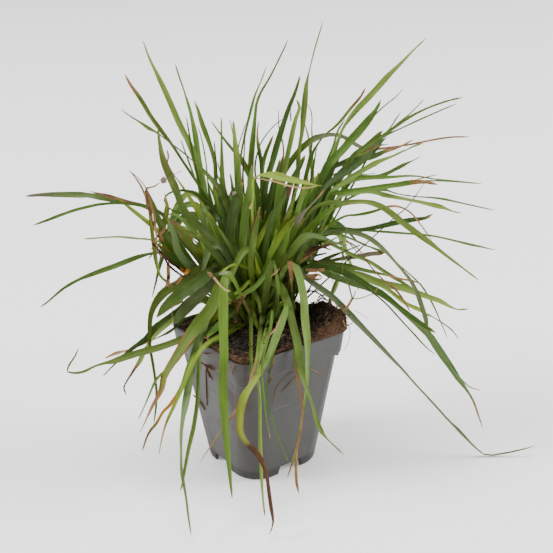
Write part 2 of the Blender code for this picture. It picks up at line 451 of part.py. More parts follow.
def picture(points):
    """The pixels at which points in space are seen, and the pixels to a millimetre there."""
    ray = np.asarray(points, float) - EYE
    depth = ray @ FORWARD
    scale = SIGHT["focal"] / depth
    return np.stack([SIGHT["centre"] + ray @ RIGHT * scale, SIGHT["centre"] - ray @ UP * scale], -1), scale


def soil_top(x, y):
    """Height of the soil: flat under the crown, high along the right, raised in front, low at the left."""
    crown = np.clip((np.hypot(x - 8, y - 12) - 32) / 12, 0, 1)
    right = np.clip((x - y) / RIM_SIDE, 0, 1) ** 2 * np.clip(1.5 - np.abs(x + y) / 45, 0, 1)
    back = np.clip(x / RIM_SIDE * 2, 0, 1) ** 3 * np.clip(1.2 - np.abs(y + 4) / 38, 0, 1)
    front = np.clip(-(x + y) / RIM_SIDE, 0, 1) ** 2
    left = np.clip((y - x) / RIM_SIDE, 0, 1) ** 2
    lumps = 0.7 * np.sin(x * 0.41 + 1.3) * np.sin(y * 0.37 + 0.4) + 0.45 * np.sin(x * 0.83 - y * 0.7)
    return SOIL_LEVEL + crown * (SOIL_RISE_RIGHT * right + SOIL_RISE_BACK * back + SOIL_RISE_FRONT * front
                                 - SOIL_DROP_LEFT * left + lumps)


def smooth_route(points, count):
    """A smooth curve through the points, chord by chord, resampled to even steps."""
    points = np.asarray(points, float)
    knots = np.concatenate([[0], np.cumsum(np.linalg.norm(np.diff(points[:, :2], axis=0), axis=1))])
    slopes = np.gradient(points, knots, axis=0)
    slopes[1:-1] = (points[2:] - points[:-2]) / (knots[2:] - knots[:-2])[:, None]
    fine = np.linspace(0, knots[-1], 400)
    span = np.clip(np.searchsorted(knots, fine, side="right") - 1, 0, len(knots) - 2)
    width = (knots[span + 1] - knots[span])[:, None]
    at = ((fine - knots[span])[:, None]) / width
    curve = ((2 * at ** 3 - 3 * at ** 2 + 1) * points[span] + (at ** 3 - 2 * at ** 2 + at) * width
             * slopes[span] + (3 * at ** 2 - 2 * at ** 3) * points[span + 1]
             + (at ** 3 - at ** 2) * width * slopes[span + 1])
    run = np.concatenate([[0], np.cumsum(np.linalg.norm(np.diff(curve[:, :2], axis=0), axis=1))])
    steps = np.linspace(0, run[-1], count)
    return np.stack([np.interp(steps, run, curve[:, k]) for k in range(curve.shape[1])], -1)


def back_fan(bearing, spread, across, depth):
    """Leaves that lean away from the viewer: each rises along a parabola and droops at its end.

    Each lies in its own upright plane through the shoot, and high and low ones take turns.
    """
    leaves = []
    for k in range(BACK_LEAVES):
        angle = math.radians(bearing + spread * ((k + 0.5) / BACK_LEAVES - 0.5))
        high = k % 2
        mix = 0.5 + 0.5 * math.sin(2.4 * k + bearing)
        reach = BACK_REACH[0] + (BACK_REACH[1] - BACK_REACH[0]) * (0.6 * high + 0.4 * mix)
        reach = min(reach, BACK_SIDE_LIMIT / max(abs(math.sin(angle)), 0.05))
        rise = BACK_RISE[0] + (BACK_RISE[1] - BACK_RISE[0]) * (0.75 * high + 0.25 * mix)
        peak = 0.58 - 0.1 * high
        step = np.linspace(0, 1, 8)[1:]
        away = reach * step ** 1.2
        points = (np.outer(away * math.cos(angle) - depth, -TOWARDS)
                  + np.outer(across + away * math.sin(angle), ACROSS))
        points[:, 2] = SOIL_LEVEL + rise * (1 - ((step - peak) / peak) ** 2)
        pixels, scale = picture(points)
        width = 4.4 * scale * np.minimum(1, 3.2 * (1.02 - step)) * np.minimum(1, 0.6 + step)
        colour = ("green", "dark", "light")[k % 3]
        leaves.append((colour, points @ TOWARDS, np.column_stack([pixels, width])))
    return leaves


def all_groups():
    """Every group of leaves from the back to the front, each with its style and root depths."""
    for name, bearing, spread, across, depth in BACK_FANS:
        yield name, "tuft", (depth, depth), back_fan(bearing, spread, across, depth)
    yield from LEAF_GROUPS


def crown_place(wanted, depth, taken, half):
    """The free place in the crown nearest to the wanted one, as (across, towards)."""
    shifts = [(a, d) for a in np.arange(-16, 16.1, 1.0) for d in np.arange(-6, 6.1, 0.65)]
    shifts.sort(key=lambda s: abs(s[0]) + 3 * abs(s[1]))
    for shift in shifts:
        across = wanted + shift[0]
        toward = depth + shift[1]
        if abs(across) + half > ROOT_REACH + 2:
            continue
        if all(abs(across - a) > half + h + 0.7 or abs(toward - t) > 1.5 + 0.8 * (max(h, half) > 2)
               for a, t, h in taken):
            return across, toward
    return wanted, depth


def root_places(name, style, depths, members, taken):
    """Where each leaf of a group stands in the crown, as (across, towards).

    The leaves of a tuft stand in a short row, in the order in which they are seen.
    """
    starts = np.array([points[0][0] for _, _, points in members], float)
    wanted = 0.3 * (starts - 255) / 1.414
    if style == "tuft":
        half = len(members) * TUFT_PITCH / 2
        centre = float(np.clip(wanted.mean(), half - ROOT_REACH, ROOT_REACH - half))
        root = crown_place(centre, depths[0], taken, half)
        taken.append((*root, half))
        order = np.argsort(np.argsort(starts, kind="stable"), kind="stable")
        return [(root[0] + (rank - (len(members) - 1) / 2) * TUFT_PITCH, root[1]) for rank in order]
    places = []
    for k, across in enumerate(np.clip(wanted, 1 - ROOT_REACH, ROOT_REACH - 1)):
        depth = depths[0] + (depths[1] - depths[0]) * k / max(len(members) - 1, 1)
        root = ROOTS.get((name, k + 1)) or crown_place(across, depth, taken, ROOT_WIDTH / 2)
        taken.append((*root, ROOT_WIDTH / 2))
        places.append(root)
    return places


def lay_out():
    """Every leaf as arrays along its length: pixels, half width and distance towards the viewer."""
    leaves = []
    taken = []
    for name, style, depths, members in all_groups():
        places = root_places(name, style, depths, members, taken)
        for k, ((colour, toward, points), root) in enumerate(zip(members, places)):
            points = np.asarray(points, float)
            base = ACROSS * root[0] + TOWARDS * root[1]
            base[2] = SOIL_LEVEL + SOIL_GAP
            pixel, scale = picture(base)
            width = TUFT_ROOT_WIDTH if style == "tuft" else ROOT_WIDTH
            path = np.vstack([[*pixel, width * scale], points])
            route = smooth_route(path, STATIONS)
            share = np.linspace(0, 1, STATIONS)
            if np.ndim(toward):
                steps = np.concatenate([[root[1]], toward])
                runs = np.concatenate([[0], np.cumsum(np.linalg.norm(np.diff(path[:, :2], axis=0), axis=1))])
                distance = np.interp(share * runs[-1], runs, steps)
            else:
                bend = np.interp(points[-1, 1], [100, 450], [1.5, 0.75])
                distance = root[1] + (toward - root[1]) * share ** bend
            leaves.append({"group": name, "style": style, "colour": colour, "number": k + 1,
                           "pixels": route[:, :2], "half": np.maximum(route[:, 2], 0.5) / 2,
                           "toward": distance, "root": root})
    return leaves


def blocked(leaves, margin):
    """For each station, the nearest and farthest distance at which its sight line is in pot or soil."""
    pixels = np.stack([leaf["pixels"] for leaf in leaves])
    above = 0.2 + 1.5 * np.clip((np.arange(STATIONS) - 1) / 3, 0, 1)
    grid = np.arange(-90, 100, 1.0)
    near = np.full(pixels.shape[:2], -1e3)
    far = np.full(pixels.shape[:2], 1e3)
    for distance in grid:
        spot = place(pixels, np.full(pixels.shape[:2], distance))
        x, y, z = spot[..., 0], spot[..., 1], spot[..., 2]
        widest = np.maximum(np.abs(x), np.abs(y))
        side = np.interp(z, [0, POT_HEIGHT - COLLAR_HEIGHT, POT_HEIGHT],
                         [BODY_FOOT_SIDE, COLLAR_FOOT_SIDE, RIM_SIDE]) / 2
        inside = (widest < side + margin) & (z < POT_HEIGHT + margin) & (z > 0)
        mound = (widest < RIM_SIDE / 2 + SOIL_OVERHANG) & (z < soil_top(x, y) + above) & (z > 50)
        hit = inside & ((z < POT_HEIGHT - 8) | (widest > RIM_SIDE / 2 - 3)) | mound
        near = np.where(hit, np.maximum(near, distance + 1), near)
        far = np.where(hit & (far > 500), distance - 1, far)
    return near, far


def crossings(leaves):
    """Each place where one leaf is seen over another: a point of one against a span of the other."""
    rows = []
    outline = []
    for leaf in leaves:
        run = np.gradient(leaf["pixels"], axis=0)
        run /= np.linalg.norm(run, axis=1, keepdims=True) + 1e-9
        side = np.stack([-run[:, 1], run[:, 0]], -1) * leaf["half"][:, None]
        outline.append(np.concatenate([leaf["pixels"] + side, leaf["pixels"], leaf["pixels"] - side]))
    station = np.tile(np.arange(STATIONS), 3)
    for i, leaf in enumerate(leaves):
        start = leaf["pixels"][:-1]
        span = leaf["pixels"][1:] - start
        reach = np.maximum(leaf["half"][1:], leaf["half"][:-1]) + 1.4
        low = leaf["pixels"].min(0) - 9
        high = leaf["pixels"].max(0) + 9
        for j, other in enumerate(leaves):
            if i == j:
                continue
            spots = outline[j]
            if (spots.max(0) < low).any() or (spots.min(0) > high).any():
                continue
            offset = spots[:, None, :] - start[None]
            at = np.clip((offset * span).sum(-1) / ((span ** 2).sum(-1) + 1e-9), 0, 1)
            apart = np.linalg.norm(offset - at[..., None] * span, axis=-1)
            point, piece = np.nonzero(apart < reach)
            if not len(point):
                continue
            keep = np.ones(len(point), bool)
            if leaf["group"] == other["group"] and leaf["style"] == "tuft":
                if leaf["group"].startswith("tuft_back"):
                    continue
                keep = (station[point] > 4) | (piece > 4)
            rows.append(np.column_stack([np.full(keep.sum(), j), station[point][keep],
                                         np.full(keep.sum(), i), piece[keep],
                                         at[point, piece][keep]]))
    return np.concatenate(rows)


def edge_depth(leaf):
    """How far a leaf's edges reach towards or away from the viewer, for its turn, in millimetres."""
    centre = place(leaf["pixels"], leaf["toward"])
    facing = leaf_frame(centre)[3]
    return leaf["half"] / picture(centre)[1] * np.sqrt(np.maximum(1 - facing ** 2, 0)) * EDGE_SHARE


def separate(leaves, rounds=320):
    """Move stations along their sight lines until leaves that cross in the picture clear each other.

    Of two leaves that cross, the one nearer to the viewer where they cross stays nearer, with a
    small preference for the one later in the list. Leaves also stay outside the pot and the soil.
    """
    toward = np.stack([leaf["toward"] for leaf in leaves])
    first = toward.copy()
    rows = crossings(leaves)
    a, sa, b, sb = (rows[:, k].astype(int) for k in range(4))
    mix = rows[:, 4]
    count = len(leaves)
    apart = toward[a, sa] - ((1 - mix) * toward[b, sb] + mix * toward[b, sb + 1])
    pair = np.minimum(a, b) * count + np.maximum(a, b)
    signed = np.where(a > b, apart, -apart)
    weight = np.where((sa < 2) & (sb < 2), ROOT_WEIGHT, 1.0)
    number = np.bincount(pair, weight)
    lead = np.bincount(pair, signed * weight) / np.maximum(number, 1)
    bias = np.where(number[pair] > ROOT_WEIGHT, 0.0, ORDER_BIAS * np.abs(a - b))
    sign = np.where(lead[pair] + bias > 0, 1.0, -1.0) * np.where(a > b, 1.0, -1.0)
    near, far = blocked(leaves, 1.9)
    front = first > np.where(near > -500, (near + far) / 2 - 12, -1e3)
    pixels = np.stack([leaf["pixels"] for leaf in leaves])
    low = place(pixels, np.zeros(first.shape))[..., 2]
    rate = place(pixels, np.ones(first.shape))[..., 2] - low
    floor = (FLOOR_CLEARANCE - low) / rate
    ramp = np.minimum(1, np.linspace(0, 1, STATIONS) / 0.1)
    tilt = np.stack([edge_depth(leaf) for leaf in leaves])
    room = BLADE_CLEARANCE + tilt[a, sa] + tilt[b, sb]
    for turn in range(rounds):
        apart = toward[a, sa] - ((1 - mix) * toward[b, sb] + mix * toward[b, sb + 1])
        lack = np.maximum(room - sign * apart, 0)
        push = lack * sign * 0.5
        ahead = np.zeros(toward.shape)
        behind = np.zeros(toward.shape)
        for who, where, size in ((a, sa, push), (b, sb, -push * (1 - mix)), (b, sb + 1, -push * mix)):
            np.maximum.at(ahead, (who, where), size)
            np.minimum.at(behind, (who, where), size)
        move = (ahead + behind) * ramp
        if turn < rounds - 60:
            for _ in range(2):
                padded = np.pad(move, ((0, 0), (1, 1)), mode="edge")
                move = np.maximum(np.abs(move), 0) * np.sign(move) * 0.4 + 0.3 * (
                    padded[:, 2:] + padded[:, :-2])
            bend = np.pad(toward, ((0, 0), (1, 1)), mode="edge")
            ease = (bend[:, 2:] + bend[:, :-2]) / 2 - toward
            ease[:, 0] = 0
            ease[:, -1] = 0
            move = move + 0.12 * ease * ramp
        toward = toward + move
        toward = np.where(front & (near > -500), np.maximum(toward, near), toward)
        toward = np.where(~front & (far < 500), np.minimum(toward, far), toward)
        toward = np.maximum(toward, floor)
        toward[:, 0] = first[:, 0]
    apart = toward[a, sa] - ((1 - mix) * toward[b, sb] + mix * toward[b, sb + 1])
    lack = room - sign * apart
    print("leaves", count, "crossings", len(rows), "short of clearance", int((lack > 0.3).sum()),
          "worst", round(float(lack.max()), 2), "moved", round(float(np.abs(toward - first).max()), 1))
    for leaf, line in zip(leaves, toward):
        leaf["toward"] = line
    return leaves


def unit(vectors):
    return vectors / (np.linalg.norm(vectors, axis=-1, keepdims=True) + 1e-12)


def leaf_frame(centre, turn=0.35):
    """Directions along and across a leaf, and out of its upper side.

    The upper side looks to the viewer at the crown and turns partly upwards further out.
    """
    along = unit(np.gradient(centre, axis=0))
    to_eye = unit(EYE - centre)
    inward = -centre * np.array([1, 1, 0])
    upper = np.array([0, 0, 1.0]) + 0.35 * unit(inward)
    share = np.linspace(0, 1, len(centre))[:, None]
    lean = turn * np.clip(share / 0.5, 0, 1) ** 1.5
    seen = unit(to_eye - (to_eye * along).sum(-1, keepdims=True) * along)
    grown = upper - (upper * along).sum(-1, keepdims=True) * along
    out = unit(seen * (1 - lean) + grown * lean)
    return along, np.cross(along, out), out, (out * seen).sum(-1)


def key_stations(centre, half, slack, least, most):
    """The stations that a leaf's line needs: the line is split where it strays most from its chords."""
    chosen = [0, len(centre) - 1]
    line = np.column_stack([centre, half * 1.5])
    while len(chosen) < most:
        worst = 0.0
        where = None
        for a, b in zip(chosen[:-1], chosen[1:]):
            if b - a < 2:
                continue
            inner = np.arange(a + 1, b)
            share = ((inner - a) / (b - a))[:, None]
            stray = np.linalg.norm(line[inner] - (line[a] * (1 - share) + line[b] * share), axis=1)
            if stray.max() > worst:
                worst = stray.max()
                where = inner[stray.argmax()]
        if where is None or (worst < slack and len(chosen) >= least):
            break
        chosen = sorted(chosen + [int(where)])
    return chosen


def leaf_solid(leaf):
    """Points and faces of one leaf: a thin three-sided blade with a keel, closed at root and tip."""
    centre = place(leaf["pixels"], leaf["toward"])
    scale = picture(centre)[1]
    along, across, out, facing = leaf_frame(centre)
    half = np.maximum(leaf["half"] / scale / np.maximum(facing, 0.7), BLADE_LEAST_WIDTH / 2)
    half[-1] = 0.35
    keys = key_stations(centre, half, *LEAF_DETAIL[leaf["style"]])
    keel = np.clip(half[keys], BLADE_LEAST_WIDTH / 2, BLADE_THICKNESS)[:, None]
    left = centre[keys] - across[keys] * half[keys][:, None]
    right = centre[keys] + across[keys] * half[keys][:, None]
    back = centre[keys] - out[keys] * keel
    points = np.stack([left, right, back], 1).reshape(-1, 3)
    lowest = SOIL_LEVEL + SOIL_GAP
    points[:3, 2] = lowest + (0.6 if leaf["style"] == "tuft" else 0.0)
    over = (np.abs(points[:, :2]).max(1) < RIM_SIDE / 2) & (points[:, 2] < lowest) & (points[:, 2] > 90)
    points[over, 2] = lowest
    points[:, 2] = np.maximum(points[:, 2], 0.3)
    faces = [(0, 1, 2)]
    for k in range(len(keys) - 1):
        a = 3 * k
        b = a + 3
        for m, n in ((0, 1), (1, 2), (2, 0)):
            faces.append((a + m, b + m, b + n))
            faces.append((a + m, b + n, a + n))
    last = 3 * (len(keys) - 1)
    faces.append((last, last + 2, last + 1))
    return points, faces


def rounded_square(side, corner, level, steps=5, between=0):
    """A ring of points round a square with round corners, at one level, with more along its sides."""
    half = side / 2
    ring = []
    for quarter in range(4):
        turn = quarter * math.pi / 2
        for step in range(steps + 1):
            angle = turn + step * math.pi / 2 / steps
            x = (half - corner) * (1 if quarter in (0, 3) else -1) + corner * math.cos(angle)
            y = (half - corner) * (1 if quarter in (0, 1) else -1) + corner * math.sin(angle)
            ring.append((x, y, level))
        reach = half - corner
        for step in range(1, between + 1):
            along = reach - 2 * reach * step / (between + 1)
            ring.append((along * math.cos(turn) - half * math.sin(turn),
                         along * math.sin(turn) + half * math.cos(turn), level))
    return ring


def loft(rings, name, finish):
    """A closed solid through rings of equally many points, capped at both ends."""
    count = len(rings[0])
    points = [p for ring in rings for p in ring]
    faces = [tuple(range(count))]
    for k in range(len(rings) - 1):
        for m in range(count):
            n = (m + 1) % count
            faces.append((k * count + m, k * count + n, (k + 1) * count + n, (k + 1) * count + m))
    faces.append(tuple(range((len(rings) - 1) * count, len(rings) * count))[::-1])
    return add_object(name, points, faces, finish)


def cut(target, cutter, operation="DIFFERENCE", solver="EXACT"):
    """Apply one Boolean of the cutter to the target, and remove the cutter."""
    change = target.modifiers.new("cut", "BOOLEAN")
    change.operation = operation
    change.solver = solver
    change.object = cutter
    graph = bpy.context.evaluated_depsgraph_get()
    mesh = bpy.data.meshes.new_from_object(target.evaluated_get(graph))
    target.modifiers.clear()
    target.data = mesh
    bpy.data.objects.remove(cutter, do_unlink=True)


def block(size, centre, turn=0.0):
    """A box of the given size in millimetres, turned about Z."""
    x, y, z = (s / 2 for s in size)
    corners = [(-x, -y, -z), (x, -y, -z), (x, y, -z), (-x, y, -z),
               (-x, -y, z), (x, -y, z), (x, y, z), (-x, y, z)]
    c = math.cos(turn)
    s = math.sin(turn)
    points = [(centre[0] + p[0] * c - p[1] * s, centre[1] + p[0] * s + p[1] * c, centre[2] + p[2])
              for p in corners]
    faces = [(0, 3, 2, 1), (4, 5, 6, 7), (0, 1, 5, 4), (1, 2, 6, 5), (2, 3, 7, 6), (3, 0, 4, 7)]
    return add_object("cutter", points, faces, material("cutter", (0.5, 0.5, 0.5), 0.5))


def cylinder(radius, low, high, place_xy, sides=12):
    ring = [(place_xy[0] + radius * math.cos(2 * math.pi * k / sides),
             place_xy[1] + radius * math.sin(2 * math.pi * k / sides)) for k in range(sides)]
    return loft([[(x, y, low) for x, y in ring], [(x, y, high) for x, y in ring]], "cutter",
                material("cutter", (0.5, 0.5, 0.5), 0.5))


def pot_outline(level, inset):
    """Side and corner radius of the pot's wall at a level, moved inwards by inset."""
    shoulder = POT_HEIGHT - COLLAR_HEIGHT
    if level > shoulder:
        side = np.interp(level, [shoulder, POT_HEIGHT], [COLLAR_FOOT_SIDE, RIM_SIDE])
    else:
        side = np.interp(level, [0, shoulder], [BODY_FOOT_SIDE, BODY_TOP_SIDE])
    corner = np.interp(level, [0, shoulder, POT_HEIGHT], [FOOT_CORNER, RIM_CORNER + 1, RIM_CORNER])
    return side - 2 * inset, max(corner - inset, 1.0)


def make_pot(finish):
    """Square pot: collar, tapering body, a floor on four corner feet, a pad and drain holes below."""
    shoulder = POT_HEIGHT - COLLAR_HEIGHT
    rings = []
    for level, inset in ((0.0, 2.0), (1.2, 0.5), (3.0, 0.0), (shoulder - 0.8, 0.0)):
        rings.append(rounded_square(*pot_outline(level, inset), level))
    rings.append(rounded_square(*pot_outline(shoulder + 0.01, 0.0), shoulder))
    rings.append(rounded_square(*pot_outline(POT_HEIGHT - 0.8, 0.0), POT_HEIGHT - 0.8))
    rings.append(rounded_square(*pot_outline(POT_HEIGHT, 0.3), POT_HEIGHT))
    rings.append(rounded_square(*pot_outline(POT_HEIGHT, WALL - 0.2), POT_HEIGHT))
    rings.append(rounded_square(*pot_outline(POT_HEIGHT - 0.8, WALL), POT_HEIGHT - 0.8))
    rings.append(rounded_square(*pot_outline(shoulder + 0.01, WALL), shoulder + 2.0))
    rings.append(rounded_square(*pot_outline(shoulder - 0.8, WALL), shoulder - 2.0))
    top = FLOOR_LEVEL + FLOOR_THICKNESS
    rings.append(rounded_square(*pot_outline(top, WALL), top))
    pot = loft(rings, "pot", finish)
    hollow = [rounded_square(*pot_outline(0, 5.0), -1.0), rounded_square(*pot_outline(0, 5.0), FLOOR_LEVEL)]
    cut(pot, loft(hollow, "cutter", finish))
    for side in range(4):
        turn = side * math.pi / 2
        reach = BODY_FOOT_SIDE / 2
        x = NOTCH_OFFSETS[side]
        y = -reach
        centre = (x * math.cos(turn) - y * math.sin(turn), x * math.sin(turn) + y * math.cos(turn),
                  NOTCH_HEIGHT / 2 - 1)
        cut(pot, block((NOTCH_WIDTH, 16, NOTCH_HEIGHT + 2), centre, turn))
    cut(pot, cylinder(PAD_RADIUS, 0.0, FLOOR_LEVEL + 0.5, (0, 0), 20), "UNION")
    for k in range(4):
        angle = math.radians(45 + 90 * k)
        cut(pot, cylinder(DRAIN_RADIUS, FLOOR_LEVEL - 1, top + 1,
                          (DRAIN_REACH * math.cos(angle), DRAIN_REACH * math.sin(angle))))
    side, _ = pot_outline(shoulder - 2, 0)
    for k in range(4):
        angle = math.radians(-45 + 90 * k)
        reach = (side / 2 - RIM_CORNER - 1) * math.sqrt(2) + RIM_CORNER + 2.2
        spot = (reach * math.cos(angle), reach * math.sin(angle), shoulder - LUG_HEIGHT / 2)
        cut(pot, block((2.4, 3.4, LUG_HEIGHT + 0.6), spot, angle), "UNION")
    return pot


def make_soil(finish):
    """Soil and root ball: fills the pot, stands above the rim and hangs over it at the right."""
    shoulder = POT_HEIGHT - COLLAR_HEIGHT
    rings = []
    for level in (FLOOR_LEVEL + FLOOR_THICKNESS + SOIL_GAP, shoulder - 1.2, shoulder + 2.6, POT_HEIGHT - 0.8):
        side, corner = pot_outline(level, WALL + SOIL_GAP)
        rings.append(np.array(rounded_square(side, corner, level, 5, 5)))
    outer = rings.pop()
    collar = rings[-1]
    height = soil_top(outer[:, 0], outer[:, 1])
    over = height > POT_HEIGHT + 1.3
    lift = np.clip((height - POT_HEIGHT - 2.0) / 3.5, 0, 1)[:, None]
    level = np.where(over, POT_HEIGHT - 0.8, np.minimum(height - 1.2, POT_HEIGHT - 0.9))
    low = collar + (outer - collar) * ((level - collar[:, 2]) / (outer[:, 2] - collar[:, 2]))[:, None]
    low[:, 2] = np.where(over, POT_HEIGHT + SOIL_GAP, level)
    outer = low * np.array([1, 1, 0])
    skirt = outer + unit(outer) * SOIL_OVERHANG * lift
    skirt[:, 2] = np.where(over, POT_HEIGHT + SOIL_GAP + 0.3, low[:, 2] + 0.3)
    crest = outer + unit(outer) * (SOIL_OVERHANG - 0.8) * lift
    crest[:, 2] = np.maximum(height - 0.8, skirt[:, 2] + 0.4)
    rings += [low, skirt, crest]
    for share in (0.93, 0.8, 0.62, 0.42, 0.2):
        ring = outer * share
        ring[:, 2] = soil_top(ring[:, 0], ring[:, 1])
        rings.append(ring)
    return loft(rings, "soil", finish)


def keep_largest(shape):
    """Drop the slivers that a union leaves: only the largest connected surface stays."""
    mesh = bmesh.new()
    mesh.from_mesh(shape.data)
    left = set(mesh.faces)
    pieces = []
    while left:
        seed = left.pop()
        piece = [seed]
        for face in piece:
            for edge in face.edges:
                for other in edge.link_faces:
                    if other in left:
                        left.remove(other)
                        piece.append(other)
        pieces.append(piece)
    pieces.sort(key=lambda piece: sum(face.calc_area() for face in piece))
    bmesh.ops.delete(mesh, geom=[face for piece in pieces[:-1] for face in piece], context="FACES")
    mesh.to_mesh(shape.data)
    mesh.free()


def make_shoot(finish):
    """The young side shoot: a bulbous stem round a curved line, closed at both ends."""
    route = smooth_route(SHOOT_POINTS, 7)
    centre = place(route[:, :2], np.linspace(*SHOOT_TOWARD, len(route)))
    foot = centre[0].copy()
    foot[2] = soil_top(*foot[:2]) + SOIL_GAP + 0.6
    centre = np.vstack([foot, centre[centre[:, 2] > foot[2] + 1.5]])
    half = np.interp(np.arange(len(centre)), np.arange(len(route)), route[:, 2]) / 2
    half = half / picture(centre)[1]
    rings = []
    for middle, radius in zip(centre, half):
        turns = 2 * np.pi * np.arange(SHOOT_SIDES) / SHOOT_SIDES
        rings.append([(middle[0] + radius * math.cos(t), middle[1] + radius * math.sin(t), middle[2])
                      for t in turns])
    return loft(rings, "side_shoot", finish)


def make_tuft(name, members, finish):
    """The leaves of one shoot, fused to its short foot where they leave the crown."""
    roots = np.array([leaf["root"] for leaf in members])
    middle = ACROSS * roots[:, 0].mean() + TOWARDS * roots[0, 1]
    depth, height = TUFT_FOOT
    size = (np.ptp(roots[:, 0]) + TUFT_PITCH + 0.4, depth, height)
    tuft = block(size, (middle[0], middle[1], SOIL_LEVEL + SOIL_GAP + height / 2),
                 math.atan2(ACROSS[1], ACROSS[0]))
    tuft.name = name
    tuft.data.materials.clear()
    tuft.data.materials.append(finish)
    for leaf in members:
        points, faces = leaf_solid(leaf)
        cut(tuft, add_object("blade", points, faces, finish), "UNION", "MANIFOLD")
    keep_largest(tuft)
    return tuft


def main():
    clear_scene()
    make_pot(material("pot plastic", (0.115, 0.115, 0.110), 0.42))
    make_soil(material("soil", (0.035, 0.022, 0.014), 0.95))
    greens = {kind: material("leaf " + kind, colour, 0.5) for kind, colour in COLOURS.items()}
    leaves = separate(lay_out())
    tufts = {}
    for leaf in leaves:
        if leaf["style"] == "tuft":
            tufts.setdefault(leaf["group"], []).append(leaf)
            continue
        points, faces = leaf_solid(leaf)
        add_object("{}_{:02d}".format(leaf["group"], leaf["number"]), points, faces, greens[leaf["colour"]])
    for name, members in tufts.items():
        make_tuft(name, members, greens[members[0]["colour"]])
    make_shoot(greens["light"])


if __name__ == "__main__":
    main()
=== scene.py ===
import bpy
import math
import numpy as np
from mathutils import Matrix


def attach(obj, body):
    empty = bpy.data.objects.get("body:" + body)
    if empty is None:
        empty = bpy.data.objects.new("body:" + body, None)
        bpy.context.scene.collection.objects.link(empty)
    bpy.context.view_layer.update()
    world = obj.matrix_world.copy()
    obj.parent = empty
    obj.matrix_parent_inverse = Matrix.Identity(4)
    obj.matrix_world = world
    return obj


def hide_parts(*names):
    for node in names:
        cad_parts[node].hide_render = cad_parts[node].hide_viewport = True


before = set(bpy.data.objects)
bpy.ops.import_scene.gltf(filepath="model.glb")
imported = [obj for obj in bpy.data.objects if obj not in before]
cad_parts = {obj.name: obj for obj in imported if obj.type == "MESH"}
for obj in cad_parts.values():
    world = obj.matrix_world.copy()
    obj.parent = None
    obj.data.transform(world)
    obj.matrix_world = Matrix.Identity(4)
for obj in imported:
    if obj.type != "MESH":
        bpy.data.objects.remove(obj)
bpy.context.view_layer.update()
mm = 0.001
print("solids loaded:", len(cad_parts))


# one output socket of a node, so that shader maths reads as an expression
class Wire:
    def __init__(self, paint, socket):
        self.paint = paint
        self.socket = socket

    def maths(self, operation, other=None, third=None, flip=False, clamp=False):
        values = [other, self] if flip else [self, other]
        inputs = {k: v for k, v in enumerate([*values, third]) if v is not None}
        return self.paint.node("Math", {"operation": operation, "use_clamp": clamp}, inputs)

    def __add__(self, other):
        return self.maths("ADD", other)

    def __sub__(self, other):
        return self.maths("SUBTRACT", other)

    def __rsub__(self, other):
        return self.maths("SUBTRACT", other, flip=True)

    def __mul__(self, other):
        return self.maths("MULTIPLY", other)

    def __truediv__(self, other):
        return self.maths("DIVIDE", other)

    def __pow__(self, other):
        return self.maths("POWER", other)

    __radd__ = __add__
    __rmul__ = __mul__

    def size(self):
        return self.maths("ABSOLUTE")

    def wave(self):
        return self.maths("SINE")

    def clip(self):
        return self.maths("ADD", 0.0, clamp=True)

    def rise(self, low, high):                      # 0 below low, 1 above high, smooth between
        return self.paint.node("MapRange", {"interpolation_type": "SMOOTHSTEP"},
                               {0: self, 1: low, 2: high, 3: 0.0, 4: 1.0})


# one material and the ways to fill its node tree
class Paint:
    def __init__(self, name):
        self.material = bpy.data.materials.new(name)
        self.material.use_nodes = True
        self.tree = self.material.node_tree
        self.tree.nodes.clear()
        self.place = self.node("TexCoord", output="Object")

    def node(self, kind, settings=None, inputs=None, output=0):
        made = self.tree.nodes.new("ShaderNode" + kind)
        for key, value in (settings or {}).items():
            if key == "stops":
                ramp = made.color_ramp
                while len(ramp.elements) < len(value):
                    ramp.elements.new(0.5)
                for element, (at, colour) in zip(ramp.elements, value):
                    element.position = at
                    element.color = (*colour, 1.0)
            else:
                setattr(made, key, value)
        for key, value in (inputs or {}).items():
            socket = made.inputs[key]
            if isinstance(value, Wire):
                self.tree.links.new(value.socket, socket)
            elif socket.type == "RGBA":
                socket.default_value = (*value, 1.0)
            else:
                socket.default_value = value
        return Wire(self, made.outputs[output]) if made.outputs else None

    def mix(self, factor, first, second, blend="MIX"):
        return self.node("Mix", {"data_type": "RGBA", "blend_type": blend, "clamp_factor": True},
                         {0: factor, 6: first, 7: second}, 2)

    def noise(self, scale, detail=3.0, rough=0.55, vector=None, distortion=0.0):
        return self.node("TexNoise", {}, {"Vector": vector or self.place, "Scale": scale, "Detail": detail,
                                          "Roughness": rough, "Distortion": distortion})

    def attribute(self, name, output="Fac"):
        return self.node("Attribute", {"attribute_name": name}, output=output)

    def stretched(self, x, y, z, turn=(0.0, 0.0, 0.0)):
        return self.node("Mapping", {}, {"Vector": self.place, "Scale": (x, y, z), "Rotation": turn})

    def bump(self, height, distance, strength=1.0):
        return self.node("Bump", {}, {"Height": height, "Distance": distance, "Strength": strength})

    def ramp(self, at, *stops):
        return self.node("ValToRGB", {"stops": stops}, {"Fac": at})

    def axes(self):
        return (self.node("SeparateXYZ", {}, {"Vector": self.place}, axis) for axis in "XYZ")

    # the surface, and for a thin blade a share of light that comes through it in one constant colour
    def finish(self, base, roughness, normal=None, through=None, glow=None, **constants):
        inputs = {"Base Color": base, "Roughness": roughness}
        if normal is not None:
            inputs["Normal"] = normal
        for key, value in constants.items():
            inputs[key.replace("_", " ")] = value
        shader = self.node("BsdfPrincipled", {}, inputs, "BSDF")
        if through is not None:
            clear = self.node("BsdfTranslucent", {}, {"Color": glow}, "BSDF")
            shader = self.node("MixShader", {}, {0: through, 1: shader, 2: clear})
        self.node("OutputMaterial", {}, {"Surface": shader})
        return self.material


